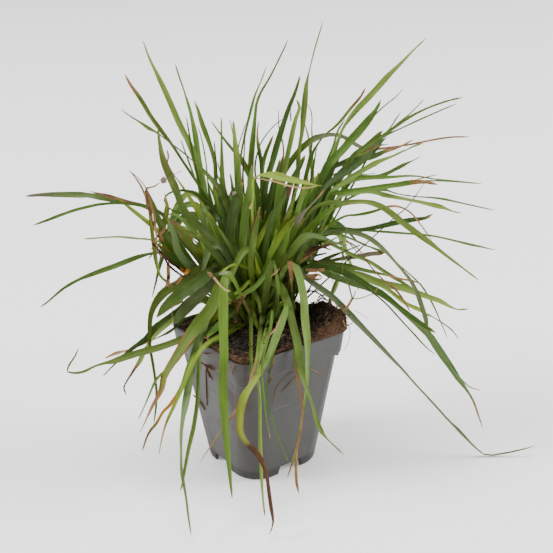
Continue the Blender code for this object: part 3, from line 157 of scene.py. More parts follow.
# points as rows in millimetres, faces as rows of equal length or loose tuples; attributes by name
def meshPiece(name, points, faces, material, attributes=None, sharp=None, smooth=True):
    mesh = bpy.data.meshes.new(name)
    mesh.from_pydata(np.asarray(points) * mm, [], faces if isinstance(faces, list) else faces.tolist())
    corners = np.empty(len(mesh.loops), np.int32)
    mesh.loops.foreach_get("vertex_index", corners)
    mesh.update()
    if smooth:
        mesh.polygons.foreach_set("use_smooth", np.ones(len(mesh.polygons), bool))
    for key, value in (attributes or {}).items():
        value = np.asarray(value, np.float32)
        kind = "FLOAT_COLOR" if value.ndim == 2 else "FLOAT"
        if value.ndim == 2:
            value = np.column_stack([value, np.ones(len(value), np.float32)])
        made = mesh.attributes.new(key, kind, "POINT")
        made.data.foreach_set("color" if kind == "FLOAT_COLOR" else "value", value.ravel())
    if sharp is not None:
        ends = np.empty(len(mesh.edges) * 2, np.int32)
        mesh.edges.foreach_get("vertices", ends)
        ends = ends.reshape(-1, 2)
        made = mesh.attributes.new("sharp_edge", "BOOLEAN", "EDGE")
        made.data.foreach_set("value", sharp[ends].all(1))
    mesh.materials.append(material)
    piece = bpy.data.objects.new(name, mesh)
    bpy.context.scene.collection.objects.link(piece)
    return piece


# the faces of a grid of rows by columns, closed round its columns
def ringFaces(rows, columns, first=0):
    k, m = np.meshgrid(np.arange(rows - 1), np.arange(columns), indexing="ij")
    n = (m + 1) % columns
    quads = np.stack([k * columns + m, k * columns + n, (k + 1) * columns + n, (k + 1) * columns + m], -1)
    return first + quads.reshape(-1, 4)


def unit(vectors):
    return vectors / (np.linalg.norm(vectors, axis=-1, keepdims=True) + 1e-12)


# six times the volume that the quads and end caps hold; below 0 the faces point inwards
def signedVolume(points, quads):
    a, b, c, d = (points[quads[:, k]] for k in range(4))
    return (a * np.cross(b, c)).sum() + (a * np.cross(c, d)).sum()


# faces of a grid closed round its columns and capped at both ends, all looking outwards
def closedFaces(points, rows, columns):
    quads = ringFaces(rows, columns)
    caps = [list(range(columns))[::-1], list(range((rows - 1) * columns, rows * columns))]
    if signedVolume(points, quads) < 0:
        quads = quads[:, ::-1]
        caps = [cap[::-1] for cap in caps]
    return quads.tolist() + caps


def shifted(faces, first):
    return [[n + first for n in face] for face in faces]


# tubes of equal detail along many paths at once: paths (count, steps, 3), radii (count, steps)
def tubes(paths, radii, sides=4):
    count, steps, _ = paths.shape
    along = unit(np.gradient(paths, axis=1))
    guide = np.where(np.abs(along[:, :1, 2:]) > 0.8, np.array([1.0, 0, 0]), np.array([0, 0, 1.0]))
    first = unit(np.cross(along, guide))
    second = np.cross(along, first)
    turn = 2 * np.pi * np.arange(sides) / sides
    ring = (first[:, :, None] * np.cos(turn)[:, None] + second[:, :, None] * np.sin(turn)[:, None])
    points = (paths[:, :, None] + ring * radii[:, :, None, None]).reshape(-1, 3)
    quads = ringFaces(steps, sides)
    starts = (np.arange(count) * steps * sides)[:, None, None]
    faces = (quads[None] + starts).reshape(-1, 4)
    root = (starts[:, :, 0] + np.arange(sides)).tolist()
    tip = (starts[:, :, 0] + (steps - 1) * sides + np.arange(sides)[::-1]).tolist()
    shapes = faces.tolist() + root + tip
    if signedVolume(points, faces[: (steps - 1) * sides]) < 0:
        shapes = [face[::-1] for face in shapes]
    return points, shapes


# a smooth lumpy field of about unit size: sines in seeded directions with the given wave lengths
def lumps(points, seed, shortest, longest, waves=26):
    rng = np.random.default_rng(seed)
    way = unit(rng.normal(size=(waves, 3)))
    length = np.exp(rng.uniform(np.log(shortest), np.log(longest), waves))
    phase = rng.uniform(0, 2 * np.pi, waves)
    weight = (length / longest) ** 0.5
    total = np.zeros(points.shape[:-1])
    for k in range(waves):
        total += weight[k] * np.sin(points @ way[k] * (2 * np.pi / length[k]) + phase[k])
    return total / np.sqrt((weight ** 2).sum() / 2)


# the eye's place over the pot, as in the solids' source: degrees, millimetres and pixels of a 553 frame
sight = {
    "bearing": -34.0,
    "height": 27.7,
    "distance": 867.0,
    "focal": 1226.6,
    "middle": (254.25, 390.0),
    "roll": -1.67,
    "centre": 276.5,
    "sensor": 36.0,          # millimetres
    "clipEnd": 50,
}
potSize = {"side": 90.0, "height": 100.0, "collar": 16.0, "collarFoot": 87.0, "bodyTop": 82.5,
           "bodyFoot": 64.0}


def viewpoint():
    bearing = math.radians(sight["bearing"])
    height = math.radians(sight["height"])
    back = np.array([math.sin(bearing) * math.cos(height), -math.cos(bearing) * math.cos(height),
                     math.sin(height)])
    eye = np.array([0.0, 0.0, potSize["height"] / 2]) + back * sight["distance"]
    right = np.array([math.cos(bearing), math.sin(bearing), 0.0])
    yaw = math.atan((sight["middle"][0] - sight["centre"]) / sight["focal"])
    pitch = math.atan((sight["middle"][1] - sight["centre"]) / sight["focal"])
    turn = np.array([[math.cos(yaw), -math.sin(yaw), 0], [math.sin(yaw), math.cos(yaw), 0], [0, 0, 1]])
    forward = turn @ -back
    right = turn @ right
    up = np.cross(right, forward)
    forward = forward * math.cos(pitch) + up * math.sin(pitch)
    up = np.cross(right, forward)
    roll = math.radians(sight["roll"])
    level = right * math.cos(roll) + up * math.sin(roll)
    upright = up * math.cos(roll) - right * math.sin(roll)
    return eye, level, upright, forward


eye, rightWay, upWay, forwardWay = viewpoint()
towards = np.array([math.sin(math.radians(sight["bearing"])), -math.cos(math.radians(sight["bearing"])), 0])
acrossWay = np.array([-towards[1], towards[0], 0])


# camera at the eye: focal length from the pixels, no shift
def makeCamera():
    data = bpy.data.cameras.new("camera")
    data.sensor_fit = "HORIZONTAL"
    data.sensor_width = sight["sensor"]
    data.lens = sight["sensor"] * sight["focal"] / (2 * sight["centre"])
    data.clip_end = sight["clipEnd"]
    camera = bpy.data.objects.new("camera", data)
    bpy.context.scene.collection.objects.link(camera)
    frameAxes = np.eye(4)
    frameAxes[:3, 0] = rightWay
    frameAxes[:3, 1] = upWay
    frameAxes[:3, 2] = -forwardWay
    frameAxes[:3, 3] = eye * mm
    camera.matrix_world = Matrix(frameAxes.tolist())
    bpy.context.scene.camera = camera


# points on the sight lines through pixels, at given distances towards the viewer
def place(pixels, toward):
    pixels = np.asarray(pixels, float)
    ray = (forwardWay * sight["focal"] + rightWay * (pixels[..., :1] - sight["centre"])
           - upWay * (pixels[..., 1:2] - sight["centre"]))
    along = (np.asarray(toward, float) - eye @ towards) / (ray @ towards)
    return eye + ray * along[..., None]


# the pixels where points are seen, and the pixels to a millimetre there
def picture(points):
    ray = np.asarray(points, float) - eye
    scale = sight["focal"] / (ray @ forwardWay)
    pixels = np.stack([sight["centre"] + ray @ rightWay * scale, sight["centre"] - ray @ upWay * scale], -1)
    return pixels, scale


soilShape = {"level": 100.5, "gap": 0.35, "riseRight": 11.5, "riseBack": 9.5, "riseFront": 3.5,
             "dropLeft": 5.0, "overhang": 3.4}


# height of the soil: flat under the crown, high along the right, raised in front, low at the left
def soilTop(x, y):
    side = potSize["side"]
    crown = np.clip((np.hypot(x - 8, y - 12) - 32) / 12, 0, 1)
    right = np.clip((x - y) / side, 0, 1) ** 2 * np.clip(1.5 - np.abs(x + y) / 45, 0, 1)
    back = np.clip(x / side * 2, 0, 1) ** 3 * np.clip(1.2 - np.abs(y + 4) / 38, 0, 1)
    front = np.clip(-(x + y) / side, 0, 1) ** 2
    left = np.clip((y - x) / side, 0, 1) ** 2
    small = 0.7 * np.sin(x * 0.41 + 1.3) * np.sin(y * 0.37 + 0.4) + 0.45 * np.sin(x * 0.83 - y * 0.7)
    lift = (soilShape["riseRight"] * right + soilShape["riseBack"] * back + soilShape["riseFront"] * front
            - soilShape["dropLeft"] * left + small)
    return soilShape["level"] + crown * lift


# colours of leaves: linear red, green and blue
greens = {
    "green": (0.086, 0.153, 0.015),
    "light": (0.148, 0.230, 0.040),
    "lime": (0.205, 0.285, 0.026),
    "dark": (0.038, 0.076, 0.007),
    "grey": (0.110, 0.165, 0.050),
    "pale": (0.260, 0.290, 0.165),
    "mauve": (0.150, 0.125, 0.085),
    "amber": (0.420, 0.190, 0.018),
    "tan": (0.330, 0.205, 0.080),
    "brown": (0.075, 0.030, 0.010),
}

# how leaves grow and keep clear of each other; the same numbers as in the solids' source
growth = {
    "clearance": 1.55,
    "rootWidth": 3.0,
    "rootReach": 29.0,
    "tuftPitch": 1.4,
    "tuftRootWidth": 1.3,
    "floorClearance": 1.4,
    "rootWeight": 400.0,
    "orderBias": 0.35,
    "edgeShare": 0.75,
    "stations": 24,
    "rounds": 320,
    "lastRounds": 60,        # rounds at the end without smoothing
    "rootSpread": 0.3,       # how far roots follow their leaves, and the crown's middle pixel
    "crownPixel": 255,
}

# every leaf in front of the back fans, from the back to the front. A group: name, how it grows, the depth
# of its roots in the crown, and its leaves from the crown outwards. A leaf: colour, distance of its tip
# towards the viewer, then points as pixel x, pixel y and width
leafGroups = [
    ("leaf_top", "single", (-34, -28), [
        "green -100 208,205,4 204,180,4 200,165,5 196,140,6 194,128,5 189,107,3 186,97.5,1.5 180,79.5,1 "
        "175,64,0.6",
        "green -105 278,185,7 290,163,6 297,153,6 303,147,5 310,141,6 316,138,6 322,136,4 333,134.5,1.5 "
        "345,137,3 355,144,2.5 365,149.5,1 390,147.5,1 410,144.5,1 422,142,2 450,137.2,1 470,137,0.6",
        "light -80 206,225,4 203,200,6 199,175,7 195,158,6 190,145,6 180,125,6 170,102,5.5 160,80,4.5 "
        "150,60,2 142.5,40.5,0.8",
        "green -88 236,200,3 239,175,2 241,155,2 246,130,2.5 251,110,3 254,98,2.5 262,77,1.2 266,66.5,0.6",
        "green -75 248,215,6 250,185,6 251,160,6 253,138,5 254.5,122,3 256,108,1.5 258,98,1 270,77,1.5 "
        "280,57,1.5 288.5,39,0.6",
        "green -60 297,180,5 299,150,5 301,140,5 303,120,6 305,100,6 306,90,5.5 307,80,4 309,70,1.5 314,50,1 "
        "322.5,21.5,0.5",
        "light -70 318,185,5 328,165,4 335,150,3 340,135,1.5 345,125,1.5 353,114,4 366,100,5.5 373,93,6 "
        "387,77,5 400,64,2.5 413,51,1 426,38.5,0.5",
    ]),
    ("tuft_top_right", "tuft", (-30, -30), [
        "dark -90 255,170,2 259,148,1 266,135,1 278,122,1 283,119,0.6",
        "green -80 311,150,2 312,125,1 312,113,1 310,109,1 307,103,0.5",
        "light -75 311,185,4 312,163,4 310.5,152,4 308,136,2 304,123,0.6",
        "green -60 312,175,2 314,163,2 317,148,0.6",
        "green -90 312,155,3 318,144,2 325,135,1 337,125,2.5 347,113,3 357,101,2.5 364,92,1.2 366,87,0.6",
        "green -60 340,155,3 360,135,2 372,118,2 380,109.5,1.5 390,101,1 400,93,1 402.5,88.8,0.5",
        "lime -80 360,155,3 380,138,3 392,129,3 402,121,3 413,110,1 424.3,98.5,0.5",
        "green -60 375,145,2 391,127,1.5 394,122,1.5 400.5,112,0.5",
        "light -60 330,176,3 345,174,2 360,174,1.5 376.5,173,0.5",
        "green -50 318,190,5 327,165,5 333,147,3 338,130,2 345,119,0.6",
        "green -90 345,165,3 370,145,3 398,125,3 405,120,2.5 420,111.5,1.5 434,105.5,0.8 447,101,2 "
        "463,97.3,0.5",
    ]),
    ("tuft_top_left", "tuft", (-27, -27), [
        "green -50 200,185,2 194,160,2 190,138,2 186,117,0.6",
        "lime -40 209,190,2 207,170,1.5 204,150,1.5 201,136,1 198,126,0.5",
        "green -30 197,182,2 195,178,2 187,157,2 181,139,0.5",
        "green -60 216.5,195,2.5 216.5,175,2.5 216,165,2.5 214.5,141,0.5",
        "green -60 238,190,2 236,160,1.2 233,135,1 229.5,119,0.5",
        "green -50 238,180,2 238,150,1.5 246,123,0.5",
        "brown -60 243,180,2 244,155,1.5 245,135,0.5",
        "dark -30 262,185,4 261,160,4 259,150,4 257,132,2 258.5,121,0.6",
        "tan -35 282,175,3 283,160,1.5 283,145,1.5 279,128,1.2 278,109,0.5",
        "green -30 262,175,4 264,160,4 267,150,3 273.5,135,0.6",
        "green -70 217,200,3 215,170,3 214,160,3 211,148,4 207,137,5 203,126,5 200,117,4.5 197,107,3 "
        "194.5,100.5,0.6",
        "green -70 258,195,6 248,172,6 243,162,5 238,155,4 232,149,2.5 221,135,1.5 211,121.5,0.6",
    ]),
    ("leaf_upright", "single", (-28, -20), [
        "green -60 220,218,4 210,203,4 200,187,3 190,172,2.5 180,157,2 172,144.5,1.5 160,129,4 150,115,4.5 "
        "140,98,3.5 131,85.5,1.5 124.5,74,0.6",
        "dark -20 265,190,6 272,163,6.5 277,145,6 282.5,127,4.5 288,110,4 294.5,94,3 300.5,75,0.6",
        "light -35 284,175,5 286,163,5 292,135,5 296,118,4 300,105,2 296.5,99.5,0.6",
        "green -25 315,195,6 330,162,8 338,155,8 350,141,8 360,130,7 370,118,5 375,111,2 381,100,0.6",
        "green -78 330,185,6 350,165,7 372,145,7 380,138,6 390,133,5 405,126,3.5 425,117,3 443,109,2 "
        "456,103.5,0.5",
        "light -35 241,215,7 239,190,8 238,178,7 237,160,7 236,150,4.5 235,140,3.5 233,120.5,0.6",
        "green -45 228,240,8 225,215,8 223,190,7 222,175,5 222,160,4 221.5,145,3 221,117,0.6",
        "green -30 240,232,9 228,205,9 220,190,8 212,180,7 200,167,4.5 190,157.5,2.5 170,142,1.5 158,133,3 "
        "150,129,4 140,122,3.5 130,115.5,2 121.5,109,0.6",
    ]),
    ("tuft_right", "tuft", (-18, -18), [
        "green -50 350,160,4 365,147,5 372,141,4 383,130.5,0.6",
        "dark -65 330,170,4 345,163,5 372,157,5 380,153,3 390,150,1.5 400,147,1 413.5,139.5,0.5",
        "green -60 350,182,4 380,176,4 390,172,4 407,163,4 415,159,2 420.5,156,0.5",
        "dark -40 395,217,1.2 406,208,1.2 414.5,197,1 423.5,183.5,0.5",
        "dark -45 300,252,3 312,239,4 328,232.5,4 345,236,2 360,242,1.5 372,248,1.5 385,253,1",
        "green -30 300,256,3 313,242,4 332,234,3 350,238,2 370,247,2 385,252,2 398,263.5,1.5 412,276,1.5 "
        "421,285,2 430,299,2 437,313,1.5 447.7,338,0.5",
        "dark -35 312,265,3 325,262,3 345,258,3.5 360,256,4.5 370,254,4.5 380,253,4 386,250,1",
        "lime -15 300,268,2.5 325,264,3 350,270,3 370,280,3 390,291,4 405,303,4 420,310,4 431,317,1",
        "green -55 340,196,4 370,191,4 385,189.5,4 400,194,2 418,196,1.2 440,198.5,2.5 460,202.5,2 "
        "480,206.8,1.2 494.5,210,0.5",
        "green -60 320,228,3 345,228,3 362,230,2.5 400,233,2.5 430,235.5,2 450,239.5,2 470,244.5,2.5 "
        "480,246.5,2 495,249.5,0.5",
        "green -45 330,192,4 345,183,5 360,178,5 380,177.5,4.5 400,176.3,3 415,175.5,1.5 430,178,1.2 "
        "481.5,183.3,0.5",
        "light -20 320,240,4 335,246,4 353,255,4 370,262,4 385,272,4 400,281,3 412,288,1",
    ]),
    ("leaf_right", "single", (-17, -10), [
        "light -27 330,195,5 345,182,6 360,172,6 370,166,6 380,161,6 390,157,5 400,152.5,4 407,149,3 "
        "415,145.5,1 423,143,0.5",
        "dark -18 322,192,6 345,172,8 366,158,8 373,150,9 380,142,8 387,137,0.8",
        "green -10 300,262,4 320,263,5 345,266,6 360,269,5 375,272.5,4 385,274.5,3 402,279,2.5 418,282,2.5 "
        "421,283,0.6",
        "dark -10 320,232,5 340,230,4 360,230,4 375,227.5,4 395,223,5 405,221,4.5 415,219.5,3.5 "
        "427,217.5,1.5 433,214,0.5",
        "light 22 335,200,3.4 350,194,5 368,191.5,5 385,195,6 405,199,5 425,203,5 443,207.5,5 450,210,3 "
        "462,213,0.6",
        "light 10 303,272,2.5 318,267,3 330,272,4 345,272,6 360,275,7 380,283,8 400,287,7 424,295.4,6 "
        "444,302.5,5 454,308.7,2.5 468.6,308.7,0.8",
        "grey 20 310,268,5 330,275,6 350,282,7 375,290,7 389,299,6 403,311,5 417,324,6 430,336,7 440,352,8 "
        "449,364,7 458,378.5,5 463,385.5,3 472,398,2 477,412,1.5 482.4,428,0.5",
        "grey 45 300,246,5 315,237,5 330,232,4.5 345,231,5 365,236,5 380,246,5 392,258,3 402,270,2 "
        "410,280,3.5 417,293,4.5 422,307,5 426,320,4 427,331,0.8",
    ]),
    ("tuft_right_low", "tuft", (-8, -8), [
        "green 0 330,196,4 345,192,5 360,190,5 380,187,5 400,184.5,5 410,182.5,4 425,182,2 438,184.8,0.6",
        "green 20 305,250,3 325,229,4 345,216,3 360,214.5,3 375,211,3 388,206.5,2.5 395,206,2.5 "
        "405,208.5,1.5 415,217,1.2 431.5,239.5,0.6",
        "tan 35 298,262,2 308,253,2 318,249,1.5 330,245,1.5 342,242,1.2 352,243.5,1.2 360,251,1.2 "
        "368,263,1.2 384,281,1 396,290,2 404,301,2 410,312,0.7",
        "dark 10 300,272,3 318,264,4 332,267,5 345,272,5 365,284,6 385,296,5 400,308,5 415,319,4 428,328,3 "
        "436,333,1",
        "dark 40 302,275,2 322,268,3 342,274,2.5 360,283,2 372,292,2 385.5,303,1.8 400,319,1.8 414,334,1.8 "
        "424,345,1.6 435,354,0.5",
    ]),
    ("tuft_left", "tuft", (-22.9, -22.9), [
        "tan -50 160,222,2 150,210,2 140,206,2 128,201.5,3 118,198.5,3.5 108,196,4 98,193,2.5 90,190.8,0.5",
        "light -70 190,262,3 170,246,2 152,240,2 135,238.3,2 118,236.8,1.2 100,237.8,1.5 83,239,0.5",
        "lime -35 185,262,4 170,245,4 160,233,4 151,225,4.5 145,220,4 135,212,3 125,204,2 116,197.5,0.5",
        "green -30 225,225,4 217,212,4 208,203,3 197.7,195,2.5 187,190.7,2 178,190.7,1.5 169.5,193,1 "
        "164,199.5,2 167.7,206.6,2 176.6,212,2 187,214,2.5 201,211,1",
        "brown -15 154,245,2 156,238,1.5 161,232,1.5 166,226,1",
        "green -40 195,265,4 175,235,3 160,212.5,2.5 145,207,2.5 130,204,2 115,203.3,1.5 100,204.3,2 "
        "85,207.5,2.5 72,211,3 60,215.3,3 45,221,2 33,225.5,0.5",
        "lime -25 190,290,3 180,289,3 172,285,3 161,277,2 157.5,268,3 155.5,258,4 154,247,4 152.5,235,4 "
        "151,222,3.5 149,208,2 145,195,1.5 138,181,1 130,171.5,0.5",
        "lime -10 175,258,4 163,242,5 161,235,6 165,220,6 167,205,4 165,193,0.6",
        "light -12 210,255,6 200,240,6 194,231,5 185,222,5 174.7,214.4,3.5 165,214,1",
    ]),
    ("leaf_left", "single", (-22, -14), [
        "grey -55 200,262,5 180,238,4 165,216,3 150,207.5,3 130,203,3 115,200.5,3 103,197.8,4 90,195.5,6 "
        "75,194.7,4.8 60,194.6,4.3 40,194.8,2 25,196.5,0.5",
        "green -50 200,275,4 180,256,3 160,252.5,2.2 148,254.3,2.5 135,258,4 122,263.2,5.2 112,267,5 "
        "100,271.2,4 88,275.8,3.2 77,280.5,1 68,285.5,2.2 60,291,2 50,300,1 40,307.5,0.5",
        "green -8 190,268,6 178,255,7 172,248,7 166,236,7 160,223,6 155,211,6 150,199,4 146,189,2 "
        "153,186.5,1.8 160,182.5,1.8",
        "green 0 215,272,7 205,260,6 195,250,6 187,238,7 180,228,5 171,220,1",
        "green -5 255,262,9 238,251,9 222,242,9 205,231,9 190.6,219,7 182,206,5 176,190,6 173,183,8 "
        "166,167,6 162,155,5 160,145,3 157.5,127.5,0.6",
        "dark 5 200,280,8 187,266,9 175,259,9 167,253,8 160,247,6 155,241,2",
        "grey -4 215,285,7.6 200,272,7.6 187,263.4,7.4 178,250.6,7 174,235,6.5 170,225,5 167.7,218,1.5",
        "dark 10 195,315,2 184,320,2 172,330,3 165,334,3 155,338,1.5 147,342,1.2 135,347,1.5 127,350,3 "
        "115,353.7,4 105,358,0.8",
        "light 12 205,300,5 180,315,5 163,328,5 152,339,4 146,348,4 141,359,5 135,368,4 130,376,3 "
        "126,382,1.5 123.5,387,1 126,395,0.5",
    ]),
    ("tuft_middle", "tuft", (-14, -14), [
        "dark -10 228,265,8 230,235,10 234,210,11 239,192,8 243,182,2",
        "green -5 272,260,6 275,235,7 277,210,7 280,185,6 283,172,1.2",
        "green 0 243,265,6 243,245,7 244,225,8 247,205,8 250,185,5 252,165,1.2",
        "dark 10 270,225,6 284,196,6 292,180,5 300,166,3 305,155,0.8",
        "light 12 293,235,4 297,215,5 301,200,5 305,188,3 308,178,0.8",
        "green 20 300,240,6 312,225,6 325,213,5 340,206,3 352,203,0.8",
        "green 18 283,265,7 288,245,7 293,230,8 300,218,7 308,208,4.5 316,199,3 324,189.5,1",
        "light 25 305,222,3 312,210,2.5 325,203,2.5 345,203,4 360,201.5,5 370,202.5,5 385,208.5,5 "
        "400,220.5,6.5 410,228,6 425,239,5 445,254.5,2.5 465,270,1.5 478.5,280.3,0.5",
        "lime 30 252,215,3 253,190,3 254,177,4 262,174.5,6 272,175,8 285,178,8 300,181.5,6 310,184,3.5 "
        "322,185.5,0.6",
    ]),
    ("leaf_middle", "single", (-14, -8), [
        "lime 30 240,280,7 248,262,8 255,247,6 262,234,4 268,222,2.5 273,210,0.6",
        "green 35 278,272,8 284,260,8 292,250,8 301,240,7 309,235,4.5 316,236,3 325,238.5,3 335,243,2 "
        "348,245,0.8",
    ]),
    ("leaf_low", "single", (-13, -6), [
        "green 11 205,268,8 187.6,278,9 177,285,9 164.6,292,9 156,302.5,8 151,315,5.5 149.6,329,4.5 "
        "150,347,3.5 153,364,2.8 156.6,392.6,2.5 156,407,2 154,424,0.5",
        "dark -10 195,298,6 180.5,309.6,7 170,318,8 156,328,8 147,338,6 134.5,347,4 124,355.5,3 115,364,1.5 "
        "102.7,377,0.5",
        "green 15 215,325,6 195,334,7 177,341,7 159,347.5,7 141.6,352,7 124,357.6,6.5 110,362,5 97,365,2 "
        "88.5,369.6,3 76,373,3 68,371.5,1.5 66,369,1 72.6,361,1.3 78.8,348.4,0.5",
        "green 10 215,272,10 200,281,12 190,288,12 177,297,12 164.6,308,8 156.6,318,1.5",
        "grey 16 220,278,9 209,285,11 195,299,12 182,313,10 174,324,3",
        "grey 20 292,262,4 300,272,5 312,282,6 332.5,297,6.5 352,316.6,7 371,336,6 389,355.5,5 403,369.6,4 "
        "417,385.5,3 431.5,401,2.5 445.6,417,2.5 460,431.5,3.5 472,444,2.5 487,454.8,1 505.7,452.7,2.2 "
        "523,449,1.5 534.8,445.6,0.5",
    ]),
    ("tuft_front", "tuft", (-5, -5), [
        "green 50 268,285,5 272,281,6 280,286,8 288,305,8 293,325,8 298,345,7.5 302.5,375,7 307.8,391,4 "
        "313,406.7,4 317.5,422.6,5 323.7,435,5 329,440,3 344,454.4,1.8",
        "light 38 290,262,5 296,268,6 301,283,7 304,300,8 305,320,8 307.4,340,6 307.4,364,3 307,385.5,3 "
        "304,406.7,2 300.7,426,2.5 297,447,2 291,467,1.5 287.5,477.4,0.5",
        "lime 40 195,355,4 180.5,389,4 170,405,3 163,412,3 156,424,3 148.7,433,2 142.5,451,0.5",
        "green 80 203,335,5 199,365,4 198,389,3.5 196.5,408.5,4 193,430,4.5 188.5,449,3.5 185,468.6,3 "
        "182,484.5,1.5 180,491.5,0.5",
        "green 62 290,300,6 293,315,5 294,335,4 295,361,3 298,380,3 301.6,400,2.5 302.5,414,2 300.7,430,2 "
        "297,447,2.5 296,463,2.5 296.3,481,3 299,494,0.5",
        "light 92 275,300,3 269,320,4 265,335,4 260,355,4 256.5,374,3 259,384,3 260,408.5,3.5 260,435,4 "
        "261,461.5,4 262,488,2.5 264.6,516,0.5",
    ]),
    ("leaf_front", "single", (-2, 4), [
        "grey 112 213,300,6 208,312,8 203.5,325,9 196.5,347,8 191,371,8 187,396,8 183,417,6 181,438.5,3.5 "
        "181,458,3 182,474,3.5 186,497,2.5 188.5,518,2 191,535,0.5",
        "green 42 222,282,6 217,290,9 212,306,12 200,322,13 187.6,338,12 177,355.5,10 164.6,375,8 161,391,7 "
        "154,403,5 147,417,3 139.5,432,0.6",
        "green 78 236,285,4 230,272,7 225,276,8 223.4,302.5,10 223.4,329,9 224,355.5,9 222.7,382,9 "
        "224,408.5,8 225.7,430,6 228,456,4.5 230,475.6,3 232,498.6,0.6",
        "light 60 278,290,3 275,268,2 271.5,257,2 270,268,6 268,280,7.5 266,293,6.5 263,313.5,5 "
        "260,333.6,4.5 256.5,360,3 252,376.5,2.5 244,398,2 228,421,1.5 212,444,1.2 200,462.4,0.5",
        "light 110 283,300,3 286,306,5 284.6,313.5,6 276.5,336,8 267,360,6 257,376,5 251,385.5,6 242.5,400,9 "
        "240,417,8 240,431.5,6 246,442,3 255,451,5 262,461.5,4 267,477,3 269,493,4 271.7,511,3.5 273,523,2 "
        "269,534,0.5",
    ]),
]

# what is special about single leaves, places given as pixels: where the dried end begins ("dryAt"), how far
# it blends, how dark it is ("char", 0 tan and 1 dark brown), margins turned orange ("rim"), dried spans
# ("patches"), spans in another colour ("wash") and how densely brown specks stand ("spot")
special = {
    ("leaf_top", 2): {"dryAt": (372, 150), "char": 0.4, "wash": [((328, 134), (366, 150), "pale")]},
    ("tuft_top_right", 5): {"dryAt": (352, 107), "char": 0.5, "blend": 0.2},
    ("tuft_top_left", 8): {"dryAt": (257.5, 138), "char": 0.4, "blend": 0.2},
    ("leaf_upright", 1): {"dryAt": (137, 93), "char": 0.35, "rim": [((131, 85), (165, 135))]},
    ("leaf_upright", 2): {"dryAt": (299, 80), "char": 0.5, "spot": 0.4},
    ("leaf_upright", 5): {"dry": 1.1},
    ("leaf_upright", 8): {"dryAt": (124, 111), "char": 0.3},
    ("tuft_right", 2): {"dryAt": (386, 151), "char": 0.35},
    ("tuft_right", 7): {"dryAt": (379, 253), "char": 0.6, "blend": 0.05, "rim": [((330, 261), (378, 253))],
                        "wash": [((345, 258), (378, 253), "mauve")]},
    ("leaf_right", 2): {"dry": 1.1},
    ("leaf_right", 3): {"dryAt": (387, 274.5), "char": 0.35, "blend": 0.06},
    ("leaf_right", 4): {"dryAt": (429, 217), "char": 0.25, "blend": 0.05},
    ("leaf_right", 7): {"dryAt": (475, 404), "char": 0.2, "spot": 0.3},
    ("tuft_right_low", 1): {"dryAt": (414, 182), "char": 0.3, "blend": 0.05},
    ("tuft_right_low", 2): {"dryAt": (386, 206.5), "char": 0.35, "blend": 0.06},
    ("tuft_right_low", 3): {"char": 0.5},
    ("tuft_left", 1): {"char": 0.6},
    ("tuft_left", 2): {"dryAt": (88, 239), "char": 0.1},
    ("tuft_left", 7): {"dryAt": (142, 188), "char": 0.3, "rim": [((156, 262), (151, 215))]},
    ("tuft_left", 8): {"dryAt": (166, 202), "char": 0.2, "rim": [((163, 242), (165, 196))],
                       "patches": [((163, 240), (162, 228))], "blend": 0.08},
    ("leaf_left", 1): {"dry": 1.1, "wash": [((40, 195), (25, 196), "mauve")]},
    ("leaf_left", 2): {"dry": 1.1},
    ("leaf_left", 4): {"dryAt": (177, 225), "char": 0.45, "rim": [((200, 256), (180, 228))], "blend": 0.12},
    ("leaf_left", 5): {"dryAt": (157, 126), "char": 0.2, "rim": [((173, 184), (160, 148))], "spot": 1.0},
    ("leaf_left", 6): {"dryAt": (157, 243), "char": 0.35, "rim": [((167, 253), (157, 243))], "blend": 0.05},
    ("leaf_left", 8): {"dryAt": (154, 338), "char": 0.15, "blend": 0.1},
    ("leaf_left", 9): {"dryAt": (138, 364), "char": 0.6, "blend": 0.1},
    ("tuft_middle", 7): {"dryAt": (317, 198), "char": 0.35, "blend": 0.06,
                         "wash": [((299, 220), (317, 198), "mauve")]},
    ("leaf_middle", 2): {"dry": 1.1, "wash": [((309, 235), (348, 245), "grey")]},
    ("leaf_low", 3): {"dry": 1.1},
    ("leaf_low", 4): {"dryAt": (157, 316), "char": 0.2, "blend": 0.06,
                      "wash": [((214, 272), (176, 298), "dark")]},
    ("leaf_low", 5): {"dry": 1.1},
    ("tuft_front", 1): {"char": 0.3, "spot": 0.3},
    ("tuft_front", 3): {"dryAt": (153, 429), "char": 0.5, "blend": 0.12,
                        "wash": [((174, 398), (156, 424), "amber")]},
    ("tuft_front", 5): {"dryAt": (295, 366), "char": 0.3, "blend": 0.15},
    ("leaf_front", 1): {"dryAt": (190, 528), "char": 0.3},
    ("leaf_front", 2): {"dryAt": (162, 388), "char": 0.3, "blend": 0.30, "rim": [((187, 338), (164, 375))]},
    ("leaf_front", 4): {"dryAt": (255, 366), "char": 0.2, "blend": 0.12},
    ("leaf_front", 5): {"dryAt": (248, 444), "char": 0.8, "blend": 0.06, "rim": [((241, 405), (246, 442))],
                        "wash": [((257, 376), (240, 432), "lime")]},
}

# the three fans behind the crown: bearing from straight back, spread, across the crown, towards the viewer
backFans = [
    ("tuft_back_middle", 0.0, 44.0, 0.0, -39.0),
    ("tuft_back_left", -42.0, 44.0, -16.5, -35.8),
    ("tuft_back_right", 42.0, 44.0, 15.0, -35.5),
]
backShape = {"leaves": 7, "reach": (78.0, 122.0), "rise": (44.0, 70.0), "sideLimit": 62.0}
# roots given one by one, as (across, towards) in the crown
handRoots = {
    ("leaf_left", 1): (-21.0, -31.0),
    ("leaf_left", 2): (-18.0, -29.5),
    ("leaf_right", 8): (9.5, -8.5),
    ("leaf_upright", 7): (0.5, -19.8),
    ("leaf_low", 5): (-4.6, -8.7),
    ("leaf_front", 1): (-9.8, -1.9),
    ("leaf_front", 2): (-5.0, 3.5),
    ("leaf_front", 3): (-1.0, 3.0),
    ("leaf_front", 4): (10.5, 0.0),
    ("leaf_front", 5): (11.0, 3.5),
}


